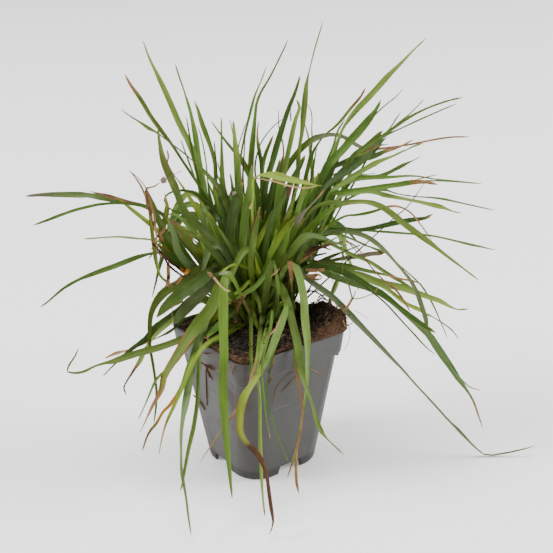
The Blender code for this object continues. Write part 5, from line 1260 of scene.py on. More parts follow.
# dead scraps and folded bits caught between the leaves: colour, points, how dark, and for one its depth
scraps = [
    ("tan", "253,177.5,1.2 275,181.5,1.8 290,186,1.8 305,188,1.6 317,186,0.8", 0.15, 31.6),
    ("brown", "288.5,185,2 289,191,3.6 288,197,3", 0.7),
    ("tan", "249.5,209,2.5 252.5,202.5,1", 0.0),
    ("tan", "257,211,1.2 260,217,1.6 262.5,222,1", 0.45),
    ("brown", "256,215,1.4 253.5,224,1.8 251,233,1.4", 0.75),
    ("tan", "281,218.3,1.2 290,218,0.9", 0.5),
    ("pale", "230,195,2 232.5,193.5,4 236,192,2.5", 0.1),
    ("tan", "292,293,1.4 291.5,282,2.4 291,270,5 290,261,6", 0.35),
    ("tan", "271.5,276,1 276,272,1.6 280,268,1.2", 0.1),
    ("tan", "280,318,1 276,328,1.6 269,336,1", 0.3),
    ("tan", "209,275,1.5 214,278,2.4 220,285,1.8 226,290,1.8 230,291,1.2", 0.0),
    ("tan", "207,272,1.2 210.5,273.5,2.4 213,277,2.4 211,278,1", 0.05),
    ("pale", "219,274,2 223.5,273,3 229,271.5,1.6", 0.1),
    ("tan", "168,262,3 168.3,268,3.6 168.5,276,3.6 168,284,3.4 169,287.5,2", 0.2),
    ("tan", "167.4,282,1.6 165,286.5,0.8", 0.2),
    ("tan", "170,283,1.6 172.5,287.5,0.8", 0.2),
    ("brown", "162,252,2 167,258,3.2 172,263,3.2 178,267,2.6 185,273,2.6 190,275,1.5", 0.85),
    ("brown", "164,257,1.6 168,264,2.2 174,270,2.4 184,277,2", 1.0),
    ("amber", "180,267.5,3 184,269.5,6.5 189,272.5,6", 0.2),
    ("tan", "176,284,2 179,280,4 182,276,3", 0.35),
    ("tan", "183,301,1.6 178,304,2 172,307,1", 0.5),
    ("tan", "172.5,306,0.8 172,314,0.8 172.4,326,0.6", 0.1),
    ("brown", "235,323,2 236.5,314,2 238,305,2 244,296,2", 0.5),
    ("tan", "244,300,2 247,306,2 250,313,1.6", 0.45),
    ("brown", "228,304,1.5 234,301.5,1.8 241,300,1.5", 0.6),
    ("tan", "246,294,2 241,302,2 238,308,2 235.5,322,1.4", 0.5),
    ("tan", "306,270,3 314,270.5,4 320,270,3.6 325,269.5,2.4", 0.3),
    ("tan", "307,275,3 312,276.5,5 318,274.5,3 322,277,1", 0.4),
    ("tan", "311,278,2.4 317,279.5,2.4 322,278,1", 0.5),
    ("brown", "303,258,2 312,251,2.4 321,247,1.8 330,243.5,1", 0.7),
    ("dark", "305,262,2 315,256,2.6 327,253,1.2", 0.5),
    ("brown", "304,253,2 313,248,2.6 322,247,2.2 331,250,1", 0.9),
    ("dark", "308,247,2.4 318,243.5,3.4 328,240.5,2", 0.5),
    ("brown", "310,258,1.4 318,261.5,1.2 327,261.5,0.8", 0.6),
    ("tan", "300,262,2 309,255,2.4 318,252.5,1.2", 0.45),
    ("tan", "129,170.5,0.8 138,178,1 146,188,1.4 150,200,1.8 154,215,2.4 155.5,228,2.2 157,240,1.2", 0.35),
    ("brown", "146,190,2 148,203,2.6 151,214,2.2 153.5,227,1.2", 0.55),
    ("tan", "145,192,1.2 146.5,204,1.4 151,216,1.2 157,232,1", 0.2),
    ("tan", "153,243,1.4 158,236,2.8 163,230.5,3.2 166.5,225.5,1", 0.4),
    ("tan", "155,242,1.2 158,252,1.6 163,259,1.4", 0.5),
    ("green", "331.5,270,1 332.5,278,0.9 333,284,0.6", 0.3),
    ("light", "347,227,1.6 345,238,2.2 343,250,2.2 342.5,262,1.2", 0.3),
    ("tan", "167,150,1 168.2,155,1.8 168,159,1.6 166,167,1", 0.5),
    ("grey", "222,224,4 214,214,4.6 206.5,207.5,4.4 204,210,4.6 203.5,218,5 205,232,4", 0.3),
    ("dark", "219,278,6 216,270,7 213,260,4", 0.3),
    ("tan", "410,181.5,1 420,178.8,1.2 437,174.6,0.8", 0.5),
    ("grey", "450,366,1.6 463,381,1.6 470,387,1.3 480.5,390.5,0.6", 0.3),
    ("green", "428,314,1.2 444,324,1.3 452.7,331,1.3 459,339.6,0.6", 0.3),
    ("brown", "369,150.5,2 378,146,2 388.5,144,0.6", 0.5),
    ("green", "291,121,1.4 290.6,115,1.4 291,109.5,0.5", 0.3),
]
# loose roots and threads that lie on the pot and the soil, and one strip of painted shadow on the pot
threads = [
    ("brown", "193,395,1.6 199,400,2.0 205,410,1.6", 0.35),
    ("brown", "198.7,360,2 205,364.5,2.6 210,367,3 215,370,1.6", 0.6),
    ("tan", "206,364,2.4 208,371,2.6 210.5,378,1.4", 0.5),
    ("tan", "210,367,1.2 209.5,373,1.4 213,380,0.8", 0.35),
    ("brown", "206,370,1.2 206.6,388,1.6 207,406,0.8", 0.75),
    ("tan", "200.9,353,0.9 207,353.6,1 214,354,0.7", 0.6),
    ("tan", "233.7,363.7,1.1 232.8,369,1.1 232.5,375,0.8", 0.5),
    ("tan", "273.4,353.9,1.3 273.3,362.5,1.3 271,368,1.2 267.4,372.8,0.9", 0.3),
    ("brown", "274,375.7,0.9 271,379.6,1.1 267.2,385,0.6", 0.35),
    # painted shadow: a thin brown strip on the pot where the root of the next row casts its shadow
    ("brown", "294.9,369.6,0.5 287,376.8,0.5 279,384,0.5 275,393,0.5 272.7,404,0.5", 0.4),
    ("brown", "296.3,376.8,0.9 289,384,0.9 281,392.2,0.5", 0.3),
    ("tan", "309.3,367.5,0.5 317,372,0.5 325.6,377,0.5", 0.3),
    ("pale", "349.4,326.6,0.6 350.1,333.8,0.6 348,343,0.6 343.7,350.3,0.5", 0.3),
    ("pale", "355,310.8,0.6 361,314,0.6 368,319.4,0.5", 0.3),
    ("tan", "343,320,1.4 346,326,1.4 353,322.5,0.8", 0.3),
    ("brown", "304,296,1.6 307.5,292,1.8 312,291,1.6 318,293,1.4 328,301,1.2", 0.9),
    ("brown", "306,293,1.4 308.6,289.5,1.4 310.9,285.4,0.8", 0.9),
    ("brown", "312,283,1.2 310,288,1.6 307.5,293.5,1.4", 1.0),
    ("brown", "316,292,1.2 318.5,289.8,1.2 319,287.4,0.6", 0.9),
    ("brown", "322,297,1.4 325,293.6,1.2 327,295,0.7", 0.8),
    ("tan", "212,327,1 219,329.6,1.2 226,334,0.8", 0.3),
    ("tan", "203,336,1.2 209,340,1.4 217,342.4,1", 0.2),
]
allRows = closeRows(leaves, 160)
pieces = [strip(colour, text, toward[0] if toward else overLeaves, {"char": char})
          for colour, text, char, *toward in scraps]
bladePiece("deadScraps", pieces, grass, (), 5000)
pieces = [strip(colour, text, overPot, {"char": char}, 0.25) for colour, text, char in threads]
bladePiece("looseRoots", pieces, grass, (), 6000)
print("scraps and threads made")

# the pot: a rounded square carried up a profile, from the middle of its underside round the feet, up the
# wall and the collar, over the rim and down inside; on each side a notch lifts the foot's edge
pot = {
    "footCorner": 19.0,
    "topCorner": 9.0,
    "wall": 1.4,
    "notchMiddles": (0.0, 2.0, -1.0, 0.0),
    "notchWidth": 17.0,
    "notchHeight": 6.0,
    "cornerSteps": 16,
    "sideSteps": 22,
    "lugHeight": 3.0,
    "padRadius": 9.0,
    "floor": 6.0,
}


# points of the pot's rounded square at heights z, moved inwards by inset: arrays of rows by ring
def potRing(z, inset, share):
    top = potSize["height"]
    shoulder = top - potSize["collar"]
    side = np.where(z > shoulder, np.interp(z, [shoulder, top], [potSize["collarFoot"], potSize["side"]]),
                    np.interp(z, [0, shoulder], [potSize["bodyFoot"], potSize["bodyTop"]]))
    corner = np.interp(z, [0, shoulder, top], [pot["footCorner"], pot["topCorner"] + 1, pot["topCorner"]])
    half = side / 2 - inset
    corner = np.maximum(corner - inset, 1.0)
    reach = half - corner
    steps = pot["cornerSteps"]
    arc = np.concatenate([np.linspace(0, 1, steps + 1), np.ones(pot["sideSteps"])]) * np.pi / 2
    straight = pot["sideSteps"] + 1
    side = np.concatenate([np.ones(steps + 1), 1 - 2 * np.arange(1, straight) / straight])
    quarter = np.repeat(np.arange(4), len(arc)) * np.pi / 2
    arc = np.tile(arc, 4)
    side = np.tile(side, 4)
    x = reach * side + corner * np.cos(arc)
    y = reach + corner * np.sin(arc)
    spot = np.stack([x * np.cos(quarter) - y * np.sin(quarter), x * np.sin(quarter) + y * np.cos(quarter),
                     z + 0 * x], -1)
    spot[..., :2] *= np.asarray(share)[..., None] if np.ndim(share) else share
    return spot, np.broadcast_to(x, spot.shape[:-1]), np.broadcast_to(side, spot.shape[:-1])


# height, inset and share of the radius down the profile; foot rows follow the notches
def potShell():
    top = potSize["height"]
    shoulder = top - potSize["collar"]
    floor = pot["floor"]
    rows = [(floor, 3.0, 0.001), (floor, 3.0, 0.5), (floor, 3.0, 0.97), (floor - 0.6, 2.6, 1.0),
            (1.0, 2.4, 1.0), (0.2, 2.2, 1.0), (0.0, 1.8, 1.0), (0.0, 1.3, 1.0), (0.25, 0.65, 1.0),
            (1.0, 0.2, 1.0), (2.4, 0.0, 1.0), (7.5, 0.0, 1.0), (13.0, 0.0, 1.0)]
    rows += [(z, 0.0, 1.0) for z in np.linspace(20, shoulder - 3.2, 12)]
    rows += [(shoulder - 1.2, -0.1, 1.0), (shoulder - 0.5, -0.35, 1.0), (shoulder - 0.1, -0.9, 1.0)]
    rows += [(shoulder + 0.01, 0.55, 1.0), (shoulder + 0.3, 0.15, 1.0), (shoulder + 0.8, 0.0, 1.0)]
    rows += [(z, 0.0, 1.0) for z in np.linspace(shoulder + 3, top - 2.2, 5)]
    rows += [(top - 0.7, 0.0, 1.0), (top - 0.2, 0.18, 1.0), (top, 0.55, 1.0), (top - 0.05, 1.0, 1.0),
             (top - 0.5, pot["wall"], 1.0), (top - 4, pot["wall"], 1.0), (shoulder + 2, pot["wall"], 1.0),
             (shoulder - 2, pot["wall"], 1.0), (50, pot["wall"], 1.0), (7.6, pot["wall"], 1.0),
             (7.6, pot["wall"], 0.5), (7.6, pot["wall"], 0.001)]
    z, inset, share = (np.array(c)[:, None] for c in zip(*rows))
    _, along, side = potRing(z, inset, share)
    flat = np.abs(side) < 1.001
    middle = np.repeat(pot["notchMiddles"], along.shape[1] // 4)
    into = np.abs(along - middle) - pot["notchWidth"] / 2
    notch = pot["notchHeight"] * np.clip(0.5 - into / 1.6, 0, 1) * flat
    notch = notch[6][None] * (share > 0.98)
    lifted = np.where((z < 13.1) & (share > 0.98), notch + z * (1 - notch / 13.0), z)
    lifted = np.where((np.arange(len(rows)) == 3)[:, None], np.maximum(lifted, floor - 0.2), lifted)
    lifted = np.where((np.arange(len(rows)) < 3)[:, None], floor, lifted)
    spot, _, _ = potRing(lifted, inset, share)
    body = (lifted > 10) & (lifted < shoulder - 2) & (inset == 0)
    steps = pot["cornerSteps"]
    count = steps + 1 + pot["sideSteps"]
    seam = np.zeros(spot.shape[1])
    for start in range(4):
        seam[start * count] = 1
        seam[start * count + steps] = 1
    outward = unit(spot * np.array([1, 1, 0]))
    spot = spot - outward * (0.28 * seam[None] * body)[..., None]
    return spot


def potPaint():
    paint = Paint("potPlastic")
    x, y, z = paint.axes()
    cloud = paint.noise(22.0, 4.0, 0.6)
    grain = paint.noise(900.0, 2.0, 0.6)
    drawn = paint.noise(1.0, 4.0, 0.6, paint.stretched(260.0, 260.0, 9.0))
    dust = (paint.noise(60.0, 5.0, 0.65).rise(0.48, 0.72) * (0.35 + (1.0 - z * 12.0).clip() * 0.65))
    scratchLane = paint.noise(1.0, 2.0, 0.5, paint.stretched(30.0, 30.0, 800.0, (0.5, 0.3, 0.0)))
    scratch = scratchLane.rise(0.70, 0.735) * paint.noise(35.0, 2.0).rise(0.52, 0.62)
    smudge = (paint.noise(38.0, 4.0, 0.65, distortion=0.6).rise(0.50, 0.66)
              * (1.0 - ((y * 18.0) + (z * 14.0) - 0.55).size()).clip() * (0.0 - x * 30.0 + 0.15).clip())
    base = paint.mix(cloud, (0.040, 0.040, 0.037), (0.054, 0.053, 0.050))
    base = paint.mix((drawn - 0.35).clip() * 0.35, base, (0.070, 0.069, 0.065))
    base = paint.mix(dust * 0.34, base, (0.105, 0.098, 0.088))
    base = paint.mix(smudge * 0.55, base, (0.075, 0.038, 0.022))
    base = paint.mix(scratch * 0.6, base, (0.150, 0.150, 0.143))
    # painted shade: the pot's corner nearest the viewer is darkened to a brownish near-black, standing in for
    # the shade it gets
    nearCornerShade = (0.0 - x - y).rise(0.048, 0.062)
    base = paint.mix(nearCornerShade * 0.55, base, (0.026, 0.023, 0.018))
    # painted shade: the pot below 8.5 mm, its foot, notches and underside, is darkened nearly to black for the
    # shade under the pot
    potFootShade = (0.0085 - z).rise(0.0, 0.0025) * 0.55
    base = paint.mix(potFootShade, base, (0.008, 0.007, 0.006))
    rough = 0.42 + dust * 0.25 + cloud * 0.08 + smudge * 0.2 - scratch * 0.1
    height = grain * 0.45 + drawn * 0.35 + scratch * -0.6
    return paint.finish(base, rough, paint.bump(height, 0.00008, 0.6), Specular_IOR_Level=0.36)


# a small block with rounded edges: a cube's grid pushed onto a superellipsoid |x|^6+|y|^6+|z|^6 = 1
def roundedBlock(size, centre, turn=0.0, power=6.0, detail=6):
    theta = np.linspace(0, np.pi, detail * 2 + 1)[:, None]
    phi = (np.arange(detail * 4) * np.pi / (detail * 2))[None]
    ball = np.stack([np.sin(theta) * np.cos(phi), np.sin(theta) * np.sin(phi), np.cos(theta) + 0 * phi], -1)
    ball = ball / ((np.abs(ball) ** power).sum(-1, keepdims=True) ** (1 / power))
    ball = ball * (np.array(size) / 2)
    c, s = math.cos(turn), math.sin(turn)
    x, y, z = np.moveaxis(ball, -1, 0)
    spot = np.stack([x * c - y * s, x * s + y * c, z], -1)
    ring = detail * 4
    faces = ringFaces(detail * 2 + 1, ring)[:, ::-1]
    return (spot + np.array(centre)).reshape(-1, 3), faces


def makePot(material):
    spot = potShell()
    rows, ring, _ = spot.shape
    points = [spot.reshape(-1, 3)]
    faces = closedFaces(points[0], rows, ring)
    first = rows * ring
    shoulder = potSize["height"] - potSize["collar"]
    for k in range(4):
        angle = math.radians(-45 + 90 * k)
        reach = (82.1 / 2 - pot["topCorner"] - 1) * math.sqrt(2) + pot["topCorner"] + 1.9
        lug = roundedBlock((2.4, 3.2, pot["lugHeight"]),
                           (reach * math.cos(angle), reach * math.sin(angle), shoulder - pot["lugHeight"] / 2),
                           angle)
        points.append(lug[0])
        faces += (lug[1] + first).tolist()
        first += len(lug[0])
    width = pot["padRadius"] * 2
    drum = roundedBlock((width, width, pot["floor"]), (0, 0, pot["floor"] / 2), 0, 2.6, 8)
    points.append(drum[0])
    faces += (drum[1] + first).tolist()
    piece = meshPiece("potShell", np.concatenate(points), faces, material)
    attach(piece, "root")
    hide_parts("pot")


makePot(potPaint())
print("pot made")

# the soil: a rounded square filled from the wall to the middle, lifted by the soil's height and by lumps
soil = {
    "crumb": 1.5,        # height of lumps, millimetres
    "rows": 70,
    "crumbs": 1500,
    "chips": 70,
    "fibres": 520,
    "mat": 900,
}


def soilPoints():
    top = potSize["height"]
    outer, _, _ = potRing(np.array([[top - 0.8]]), np.array([[pot["wall"] + soilShape["gap"]]]), 1.0)
    outer = outer[0]
    shoulder = top - potSize["collar"]
    below, _, _ = potRing(np.array([[8.0], [shoulder - 1.2], [shoulder + 2.6]]),
                          np.full((3, 1), pot["wall"] + soilShape["gap"]), 1.0)
    collar = below[2]
    height = soilTop(outer[:, 0], outer[:, 1])
    over = height > top + 1.3
    lift = np.clip((height - top - 2.0) / 3.5, 0, 1)[:, None]
    level = np.where(over, top - 0.8, np.minimum(height - 1.2, top - 0.9))
    low = collar + (outer - collar) * ((level - collar[:, 2]) / (outer[:, 2] - collar[:, 2]))[:, None]
    low[:, 2] = np.where(over, top + soilShape["gap"], level)
    flat = low * np.array([1, 1, 0])
    rings = [below[0] * np.array([0.02, 0.02, 1]), below[0], below[1], collar, low]
    for part in (0.0, 0.5, 0.85, 1.0):
        ring = flat + unit(flat) * (soilShape["overhang"] - 0.8 * part) * lift
        base = np.where(over, top + soilShape["gap"] + 0.3, low[:, 2] + 0.3)
        ring[:, 2] = base + (np.maximum(height - 0.8, base + 0.4) - base) * part
        rings.append(ring)
    for share in np.linspace(0.985, 0.01, soil["rows"]):
        ring = flat * share
        ring[:, 2] = soilTop(ring[:, 0], ring[:, 1])
        rings.append(ring)
    return np.stack(rings)


# height of the finished soil over a place
def soilSurface(x, y):
    flat = np.stack([x, y, 0 * x], -1)
    rough = lumps(flat, 11, 2.2, 9.0) * 0.42 + lumps(flat, 12, 5.0, 22.0) * 0.35
    return soilTop(x, y) + soil["crumb"] * rough * 0.6


def makeSoil(material):
    spot = soilPoints()
    rows, ring, _ = spot.shape
    top = spot[9:]
    lifted = soilSurface(top[..., 0], top[..., 1])
    edge = np.clip(np.arange(len(top)) / 3.0, 0, 1)[:, None]
    top[..., 2] += (lifted - top[..., 2]) * edge
    rim = spot[5:9]
    rim[...] = rim + unit(rim * np.array([1, 1, 0])) * (lumps(rim, 13, 1.6, 7.0) * 0.30)[..., None]
    points = spot.reshape(-1, 3)
    piece = meshPiece("soilBed", points, closedFaces(points, rows, ring), material)
    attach(piece, "root")
    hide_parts("soil")


def soilPaint():
    paint = Paint("peatSoil")
    x, y, z = paint.axes()
    crumb = paint.noise(420.0, 5.0, 0.7)
    clump = paint.noise(120.0, 4.0, 0.6)
    thread = paint.noise(1.0, 3.0, 0.7, paint.stretched(900.0, 260.0, 700.0, (0.4, 0.9, 0.7)))
    edge = x.size().maths("MAXIMUM", y.size()).rise(0.0345, 0.0425)
    dark = paint.mix(crumb.rise(0.38, 0.66), (0.004, 0.003, 0.0022), (0.024, 0.016, 0.010))
    brown = paint.mix(thread.rise(0.35, 0.68), (0.026, 0.011, 0.0045), (0.095, 0.046, 0.017))
    base = paint.mix((edge * (0.45 + clump * 1.1)).clip(), dark, brown)
    pale = paint.noise(1.0, 2.0, 0.6, paint.stretched(400.0, 1500.0, 900.0, (0.1, 0.3, 1.1))).rise(0.70, 0.76)
    base = paint.mix(pale * 0.5, base, (0.150, 0.105, 0.060))
    return paint.finish(base, 0.86 + crumb * 0.1, paint.bump(crumb * 0.7 + clump * 0.4, 0.0012, 0.9),
                        Specular_IOR_Level=0.25)


# one small shape repeated: shape (n, 3), faces, and per copy a 3 by 3 turn and a place
def scattered(shape, faces, turns, places):
    spots = np.einsum("kij,nj->kni", turns, shape) + places[:, None]
    first = (np.arange(len(turns)) * len(shape))[:, None, None]
    return spots.reshape(-1, 3), (np.asarray(faces)[None] + first).reshape(-1, len(faces[0])).tolist()


# random turns as matrices, each stretched by its own three sizes
def randomTurns(rng, sizes, tilt=math.pi):
    count = len(sizes)
    a, c = rng.uniform(0, 2 * np.pi, (2, count))
    b = rng.uniform(-tilt, tilt, count)
    zero, one = np.zeros(count), np.ones(count)
    spin = np.array([[np.cos(a), -np.sin(a), zero], [np.sin(a), np.cos(a), zero], [zero, zero, one]])
    lean = np.array([[one, zero, zero], [zero, np.cos(b), -np.sin(b)], [zero, np.sin(b), np.cos(b)]])
    twist = np.array([[np.cos(c), -np.sin(c), zero], [np.sin(c), np.cos(c), zero], [zero, zero, one]])
    turn = np.einsum("ijk,jlk,lmk->kim", spin, lean, twist)
    return turn * np.asarray(sizes)[:, None, :]


# places on the soil, inside the pot's square
def soilPlaces(rng, count, low=0.0, high=1.0):
    angle = rng.uniform(0, 2 * np.pi, count)
    reach = np.sqrt(rng.uniform(low ** 2, high ** 2, count))
    square = np.stack([np.cos(angle), np.sin(angle)], -1)
    square = square / (np.abs(square) ** 5).sum(-1, keepdims=True) ** 0.2
    flat = square * reach[:, None] * 42.5
    return flat[:, 0], flat[:, 1]


def makeCrumbs(material):
    rng = np.random.default_rng(41)
    ball, faces = roundedBlock((1, 1, 1), (0, 0, 0), 0, 3.0, 2)
    x, y = soilPlaces(rng, soil["crumbs"])
    size = np.exp(rng.normal(0.15, 0.42, len(x)))
    sizes = 1.1 * np.stack([size, size * rng.uniform(0.5, 1.0, len(x)),
                            size * rng.uniform(0.4, 0.8, len(x))], -1)
    places = np.stack([x, y, soilSurface(x, y) + 0.15 * size], -1)
    crumbs = scattered(ball * (1 + 0.16 * np.sin(ball * 9.0)), faces, randomTurns(rng, sizes), places)
    x, y = soilPlaces(rng, soil["chips"])
    size = rng.uniform(1.6, 4.2, len(x))
    sizes = np.stack([size, size * rng.uniform(0.35, 0.7, len(x)), size * rng.uniform(0.12, 0.3, len(x))], -1)
    places = np.stack([x, y, soilSurface(x, y) + 0.5], -1)
    block, sides = roundedBlock((1, 1, 1), (0, 0, 0), 0, 8.0, 3)
    chip = block + 0.05 * np.sin(block[:, [1, 2, 0]] * 7)
    chips = scattered(chip, sides, randomTurns(rng, sizes, 0.6), places)
    tone = np.concatenate([np.repeat(rng.uniform(0, 0.35, soil["crumbs"]), len(ball)),
                           np.repeat(rng.uniform(0.25, 1.0, soil["chips"]), len(block))])
    faces = crumbs[1] + shifted(chips[1], len(crumbs[0]))
    piece = meshPiece("barkAndCrumbs", np.concatenate([crumbs[0], chips[0]]), faces, material, {"tone": tone})
    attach(piece, "root")


def crumbPaint():
    paint = Paint("barkCrumb")
    grain = paint.noise(600.0, 4.0, 0.65)
    tone = (paint.attribute("tone") + (grain - 0.5) * 0.5).clip()
    base = paint.ramp(tone, (0.0, (0.0035, 0.0025, 0.002)), (0.4, (0.015, 0.010, 0.007)),
                      (0.75, (0.045, 0.027, 0.016)), (1.0, (0.120, 0.088, 0.058)))
    return paint.finish(base, 0.8 + grain * 0.15, paint.bump(grain, 0.0006, 0.8), Specular_IOR_Level=0.25)


# fibres: each a thin tube along a gently curved line over the soil
def fibrePaths(rng, x, y, length, way, lift, steps=7):
    at = np.linspace(-0.5, 0.5, steps)[None]
    bow = rng.normal(0, 0.35, (len(x), 1))
    angle = way[:, None] + bow * at * 3.0
    run = np.cumsum(np.stack([np.cos(angle), np.sin(angle)], -1), 1)
    run = (run - run[:, steps // 2][:, None]) * (length / steps)[:, None, None]
    px = x[:, None] + run[..., 0]
    py = y[:, None] + run[..., 1]
    return px, py, lift[:, None] * (0.3 + np.cos(at * np.pi) * rng.uniform(0.2, 1.4, (len(x), 1)))


def makeFibres(material):
    rng = np.random.default_rng(77)
    x, y = soilPlaces(rng, soil["fibres"])
    length = rng.uniform(3, 13, len(x))
    px, py, up = fibrePaths(rng, x, y, length, rng.uniform(0, 2 * np.pi, len(x)),
                            rng.uniform(0.2, 1.5, len(x)))
    limit = 43.0 / np.maximum(1.0, np.maximum(np.abs(px), np.abs(py)) / 43.0) / 43.0
    px, py = px * limit, py * limit
    loose = np.stack([px, py, soilSurface(px, py) + up], -1)
    points, faces = tubes(loose, np.tile(rng.uniform(0.08, 0.24, (len(x), 1)), (1, 7)), 3)
    tone = np.repeat(rng.uniform(0.1, 1.0, len(x)) ** 1.3, 21)
    # the brown mat along the rim: fibres that follow the pot's wall, thickest at the front and right
    outer = potRing(np.array([[99.2]]), np.array([[1.9]]), 1.0)[0][0]
    pick = rng.integers(0, len(outer), soil["mat"] * 3)
    side = outer[pick]
    keep = rng.uniform(0, 1, len(side)) < np.clip(0.12 + (side[:, 0] - side[:, 1]) / 70.0, 0.06, 1)
    side = side[keep][: soil["mat"]]
    ahead = outer[(pick[keep][: soil["mat"]] + 1) % len(outer)] - side
    way = np.arctan2(ahead[:, 1], ahead[:, 0]) + rng.normal(0, 0.45, len(side))
    reach = rng.uniform(0, 1, len(side))
    over = np.clip((soilTop(side[:, 0], side[:, 1]) - 102.0) / 3.5, 0, 1)
    spot = (side * (1 - 0.16 * reach ** 1.3)[:, None]
            + unit(side * [1, 1, 0]) * (over * 3.3 * (1 - reach))[:, None])
    px, py, up = fibrePaths(rng, spot[:, 0], spot[:, 1], rng.uniform(2.5, 11, len(side)), way,
                            rng.uniform(0.1, 1.1, len(side)))
    height = soilSurface(px * 0.98, py * 0.98)
    drop = rng.uniform(0, 1, len(side))[:, None] ** 1.5 * np.maximum(height - 100.9, 0) * over[:, None] * (
        1 - reach[:, None]) ** 2
    mat = np.stack([px, py, np.maximum(height - drop, 100.0 - 6 * (over[:, None] < 0.05)) + up * 0.6], -1)
    more = tubes(mat, np.tile(rng.uniform(0.12, 0.34, (len(side), 1)), (1, 7)), 3)
    tone = np.concatenate([tone, np.repeat(rng.uniform(0.15, 0.75, len(side)), 21)])
    faces = faces + shifted(more[1], len(points))
    piece = meshPiece("rootFibres", np.concatenate([points, more[0]]), faces, material, {"tone": tone})
    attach(piece, "root")


def fibrePaint():
    paint = Paint("rootFibre")
    grain = paint.noise(500.0, 3.0, 0.6)
    tone = (paint.attribute("tone") + (grain - 0.5) * 0.4).clip()
    base = paint.ramp(tone, (0.0, (0.010, 0.005, 0.003)), (0.35, (0.048, 0.021, 0.008)),
                      (0.7, (0.115, 0.060, 0.025)), (1.0, (0.260, 0.190, 0.115)))
    return paint.finish(base, 0.7 + grain * 0.2, paint.bump(grain, 0.0003, 0.6), Specular_IOR_Level=0.3)


makeSoil(soilPaint())
makeCrumbs(crumbPaint())
makeFibres(fibrePaint())
print("soil made")

# the young shoot at the right: a round stem carried along its line
shoot = {
    "points": "329,308,3 331,297,3.5 335,287,5.5 338,279,4 340,272,1",
    "toward": (-13.0, -13.0),
    "sides": 14,
    "steps": 40,
}


def shootPaint():
    paint = Paint("youngShoot")
    height = paint.attribute("height")
    grain = paint.noise(300.0, 3.0, 0.6)
    ribs = paint.noise(1.0, 2.0, 0.5, paint.stretched(900.0, 900.0, 40.0))
    at = (height + (grain - 0.5) * 0.08).clip()
    base = paint.ramp(at, (0.0, (0.110, 0.034, 0.010)), (0.16, (0.200, 0.075, 0.028)),
                      (0.26, (0.300, 0.130, 0.055)), (0.36, (0.230, 0.220, 0.060)),
                      (0.70, (0.210, 0.310, 0.035)), (0.88, (0.260, 0.290, 0.035)),
                      (0.97, (0.380, 0.110, 0.022)))
    base = paint.mix((ribs - 0.4).clip(), base, (0.300, 0.360, 0.100))
    return paint.finish(base, 0.45 + grain * 0.15, paint.bump(ribs * 0.6 + grain * 0.4, 0.0002, 0.5), 0.2,
                        (0.30, 0.42, 0.05))


def makeShoot(material):
    line = smoothRoute(readPoints(shoot["points"]), 7)
    centre = place(line[:, :2], np.linspace(*shoot["toward"], 7))
    half = line[:, 2] / 2 / picture(centre)[1]
    count = shoot["steps"]
    centre = finer(centre, count)
    half = finer(half, count)
    at = np.linspace(0, 1, count)
    half = half * (1 + 0.25 * np.exp(-((at - 0.22) / 0.04) ** 2))
    half[-1] = 0.1
    centre[0, 2] = min(centre[0, 2], soilTop(*centre[0, :2]) + 0.3)
    points, faces = tubes(centre[None], half[None], shoot["sides"])
    piece = meshPiece("youngShoot", points, faces, material, {"height": np.repeat(at, shoot["sides"])})
    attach(piece, "root")
    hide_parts("side_shoot")


makeShoot(shootPaint())
print("shoot made")

# a thin sprig on the soil's right edge: its foot, its stalk and threads stand at one depth
sprig = {"foot": (343.0, 315.0), "parts": [
    ("brown", "344,312,2.4 348,306,2.8 352.3,298.6,2.2", 0.35), ("green", "352.3,299,1.6 348.7,285,1.6 "
     "347,281,1.7 342.5,272,1.6 343,262,1.2", 0.3), ("tan", "352,299,1.2 361,298,1.1 368,295.5,1 374,293,1 "
     "378,287,0.8", 0.35), ("grey", "353,298.5,1.2 354.5,294,1.1 356.3,290,0.7", 0.3),
    ("brown", "344,309,2 341,305,1.6 337,307,1.2", 0.6)]}
depth = overPot(np.array([sprig["foot"]]))[0] + 0.5
bladePiece("sprig", [strip(colour, text, depth, {"char": char}) for colour, text, char in sprig["parts"]],
           grass, (), 7000)

# a round seed bud on the tip of a curled leaf, with a fine hair: a ball with small lumps
bud = {"pixel": (163.5, 180.3), "radius": 2.1, "rings": 14, "sides": 20, "leaf": ("leaf_left", 3)}


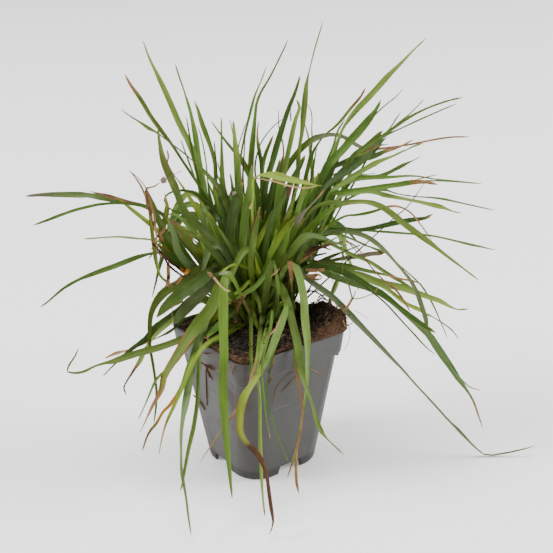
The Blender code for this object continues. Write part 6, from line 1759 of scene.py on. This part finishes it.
def makeBud():
    leaf = next(leaf for leaf in leaves if (leaf["group"], leaf["number"]) == bud["leaf"])
    toward = leaf["toward"][-1]
    centre = place(np.array(bud["pixel"]), toward)
    fall = np.linspace(0.001, math.pi - 0.001, bud["rings"])[:, None]
    turn = np.arange(bud["sides"])[None] * 2 * math.pi / bud["sides"]
    ball = np.stack([np.sin(fall) * np.cos(turn), np.sin(fall) * np.sin(turn), np.cos(fall) + 0 * turn], -1)
    ball = ball * (bud["radius"] * (1 + 0.07 * lumps(ball * 4, 3, 1.5, 5)))[..., None]
    faces = closedFaces(ball.reshape(-1, 3), bud["rings"], bud["sides"])
    paint = Paint("seedBud")
    grain = paint.noise(900.0, 3.0, 0.6)
    base = paint.mix(grain, (0.060, 0.045, 0.030), (0.230, 0.175, 0.130))
    piece = meshPiece("seedBud", ball.reshape(-1, 3) + centre, faces,
                      paint.finish(base, 0.8, paint.bump(grain, 0.0004, 0.8)))
    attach(piece, "root")
    hairs = [("mauve", "165,179,0.8 172,175,0.7 182,171,0.5"), ("tan", "163,177.6,0.8 163.6,175.4,0.6")]
    bladePiece("budHairs", [strip(colour, text, toward) for colour, text in hairs], grass, (), 7100)


makeBud()
print("sprig and bud made")

# pale floor and soft studio light
studio = {
    "floor": 14.0,
    "key": (165.0, (-2.6, 1.5, 2.2), 1.5),
    "fill": (170.0, (2.6, -1.7, 1.5), 1.8),
    "top": (95.0, (0.1, 0.3, 3.2), 1.8),
    "sky": 0.52,
    "glow": 0.25,
}


def makeStudio():
    half = studio["floor"] / 2 / mm
    paint = Paint("studioFloor")
    tone = paint.mix(paint.noise(3.0) * 0.2, (0.86, 0.86, 0.86), (0.82, 0.82, 0.82))
    corners = [(-half, -half, 0), (half, -half, 0), (half, half, 0), (-half, half, 0)]
    plain = paint.finish(tone, 0.7, Emission_Strength=studio["glow"], Emission_Color=(1.0, 1.0, 1.0))
    floor = meshPiece("studioFloor", np.array(corners), [(0, 1, 2, 3)], plain, smooth=False)
    for name in ("key", "fill", "top"):
        power, spot, size = studio[name]
        data = bpy.data.lights.new(name, "AREA")
        data.energy = power
        data.shape = "DISK"
        data.size = size
        lamp = bpy.data.objects.new(name, data)
        bpy.context.scene.collection.objects.link(lamp)
        back = unit(np.array(spot) - np.array([0, 0, 0.1]))
        side = unit(np.cross([0, 0, 1.0], back))
        axes = np.eye(4)
        axes[:3, 0], axes[:3, 1], axes[:3, 2], axes[:3, 3] = side, np.cross(back, side), back, spot
        lamp.matrix_world = Matrix(axes.tolist())
    world = bpy.data.worlds.new("studio")
    world.use_nodes = True
    world.node_tree.nodes["Background"].inputs["Color"].default_value = (1.0, 1.0, 1.0, 1.0)
    world.node_tree.nodes["Background"].inputs["Strength"].default_value = studio["sky"]
    bpy.context.scene.world = world


makeCamera()
makeStudio()
print("studio made")
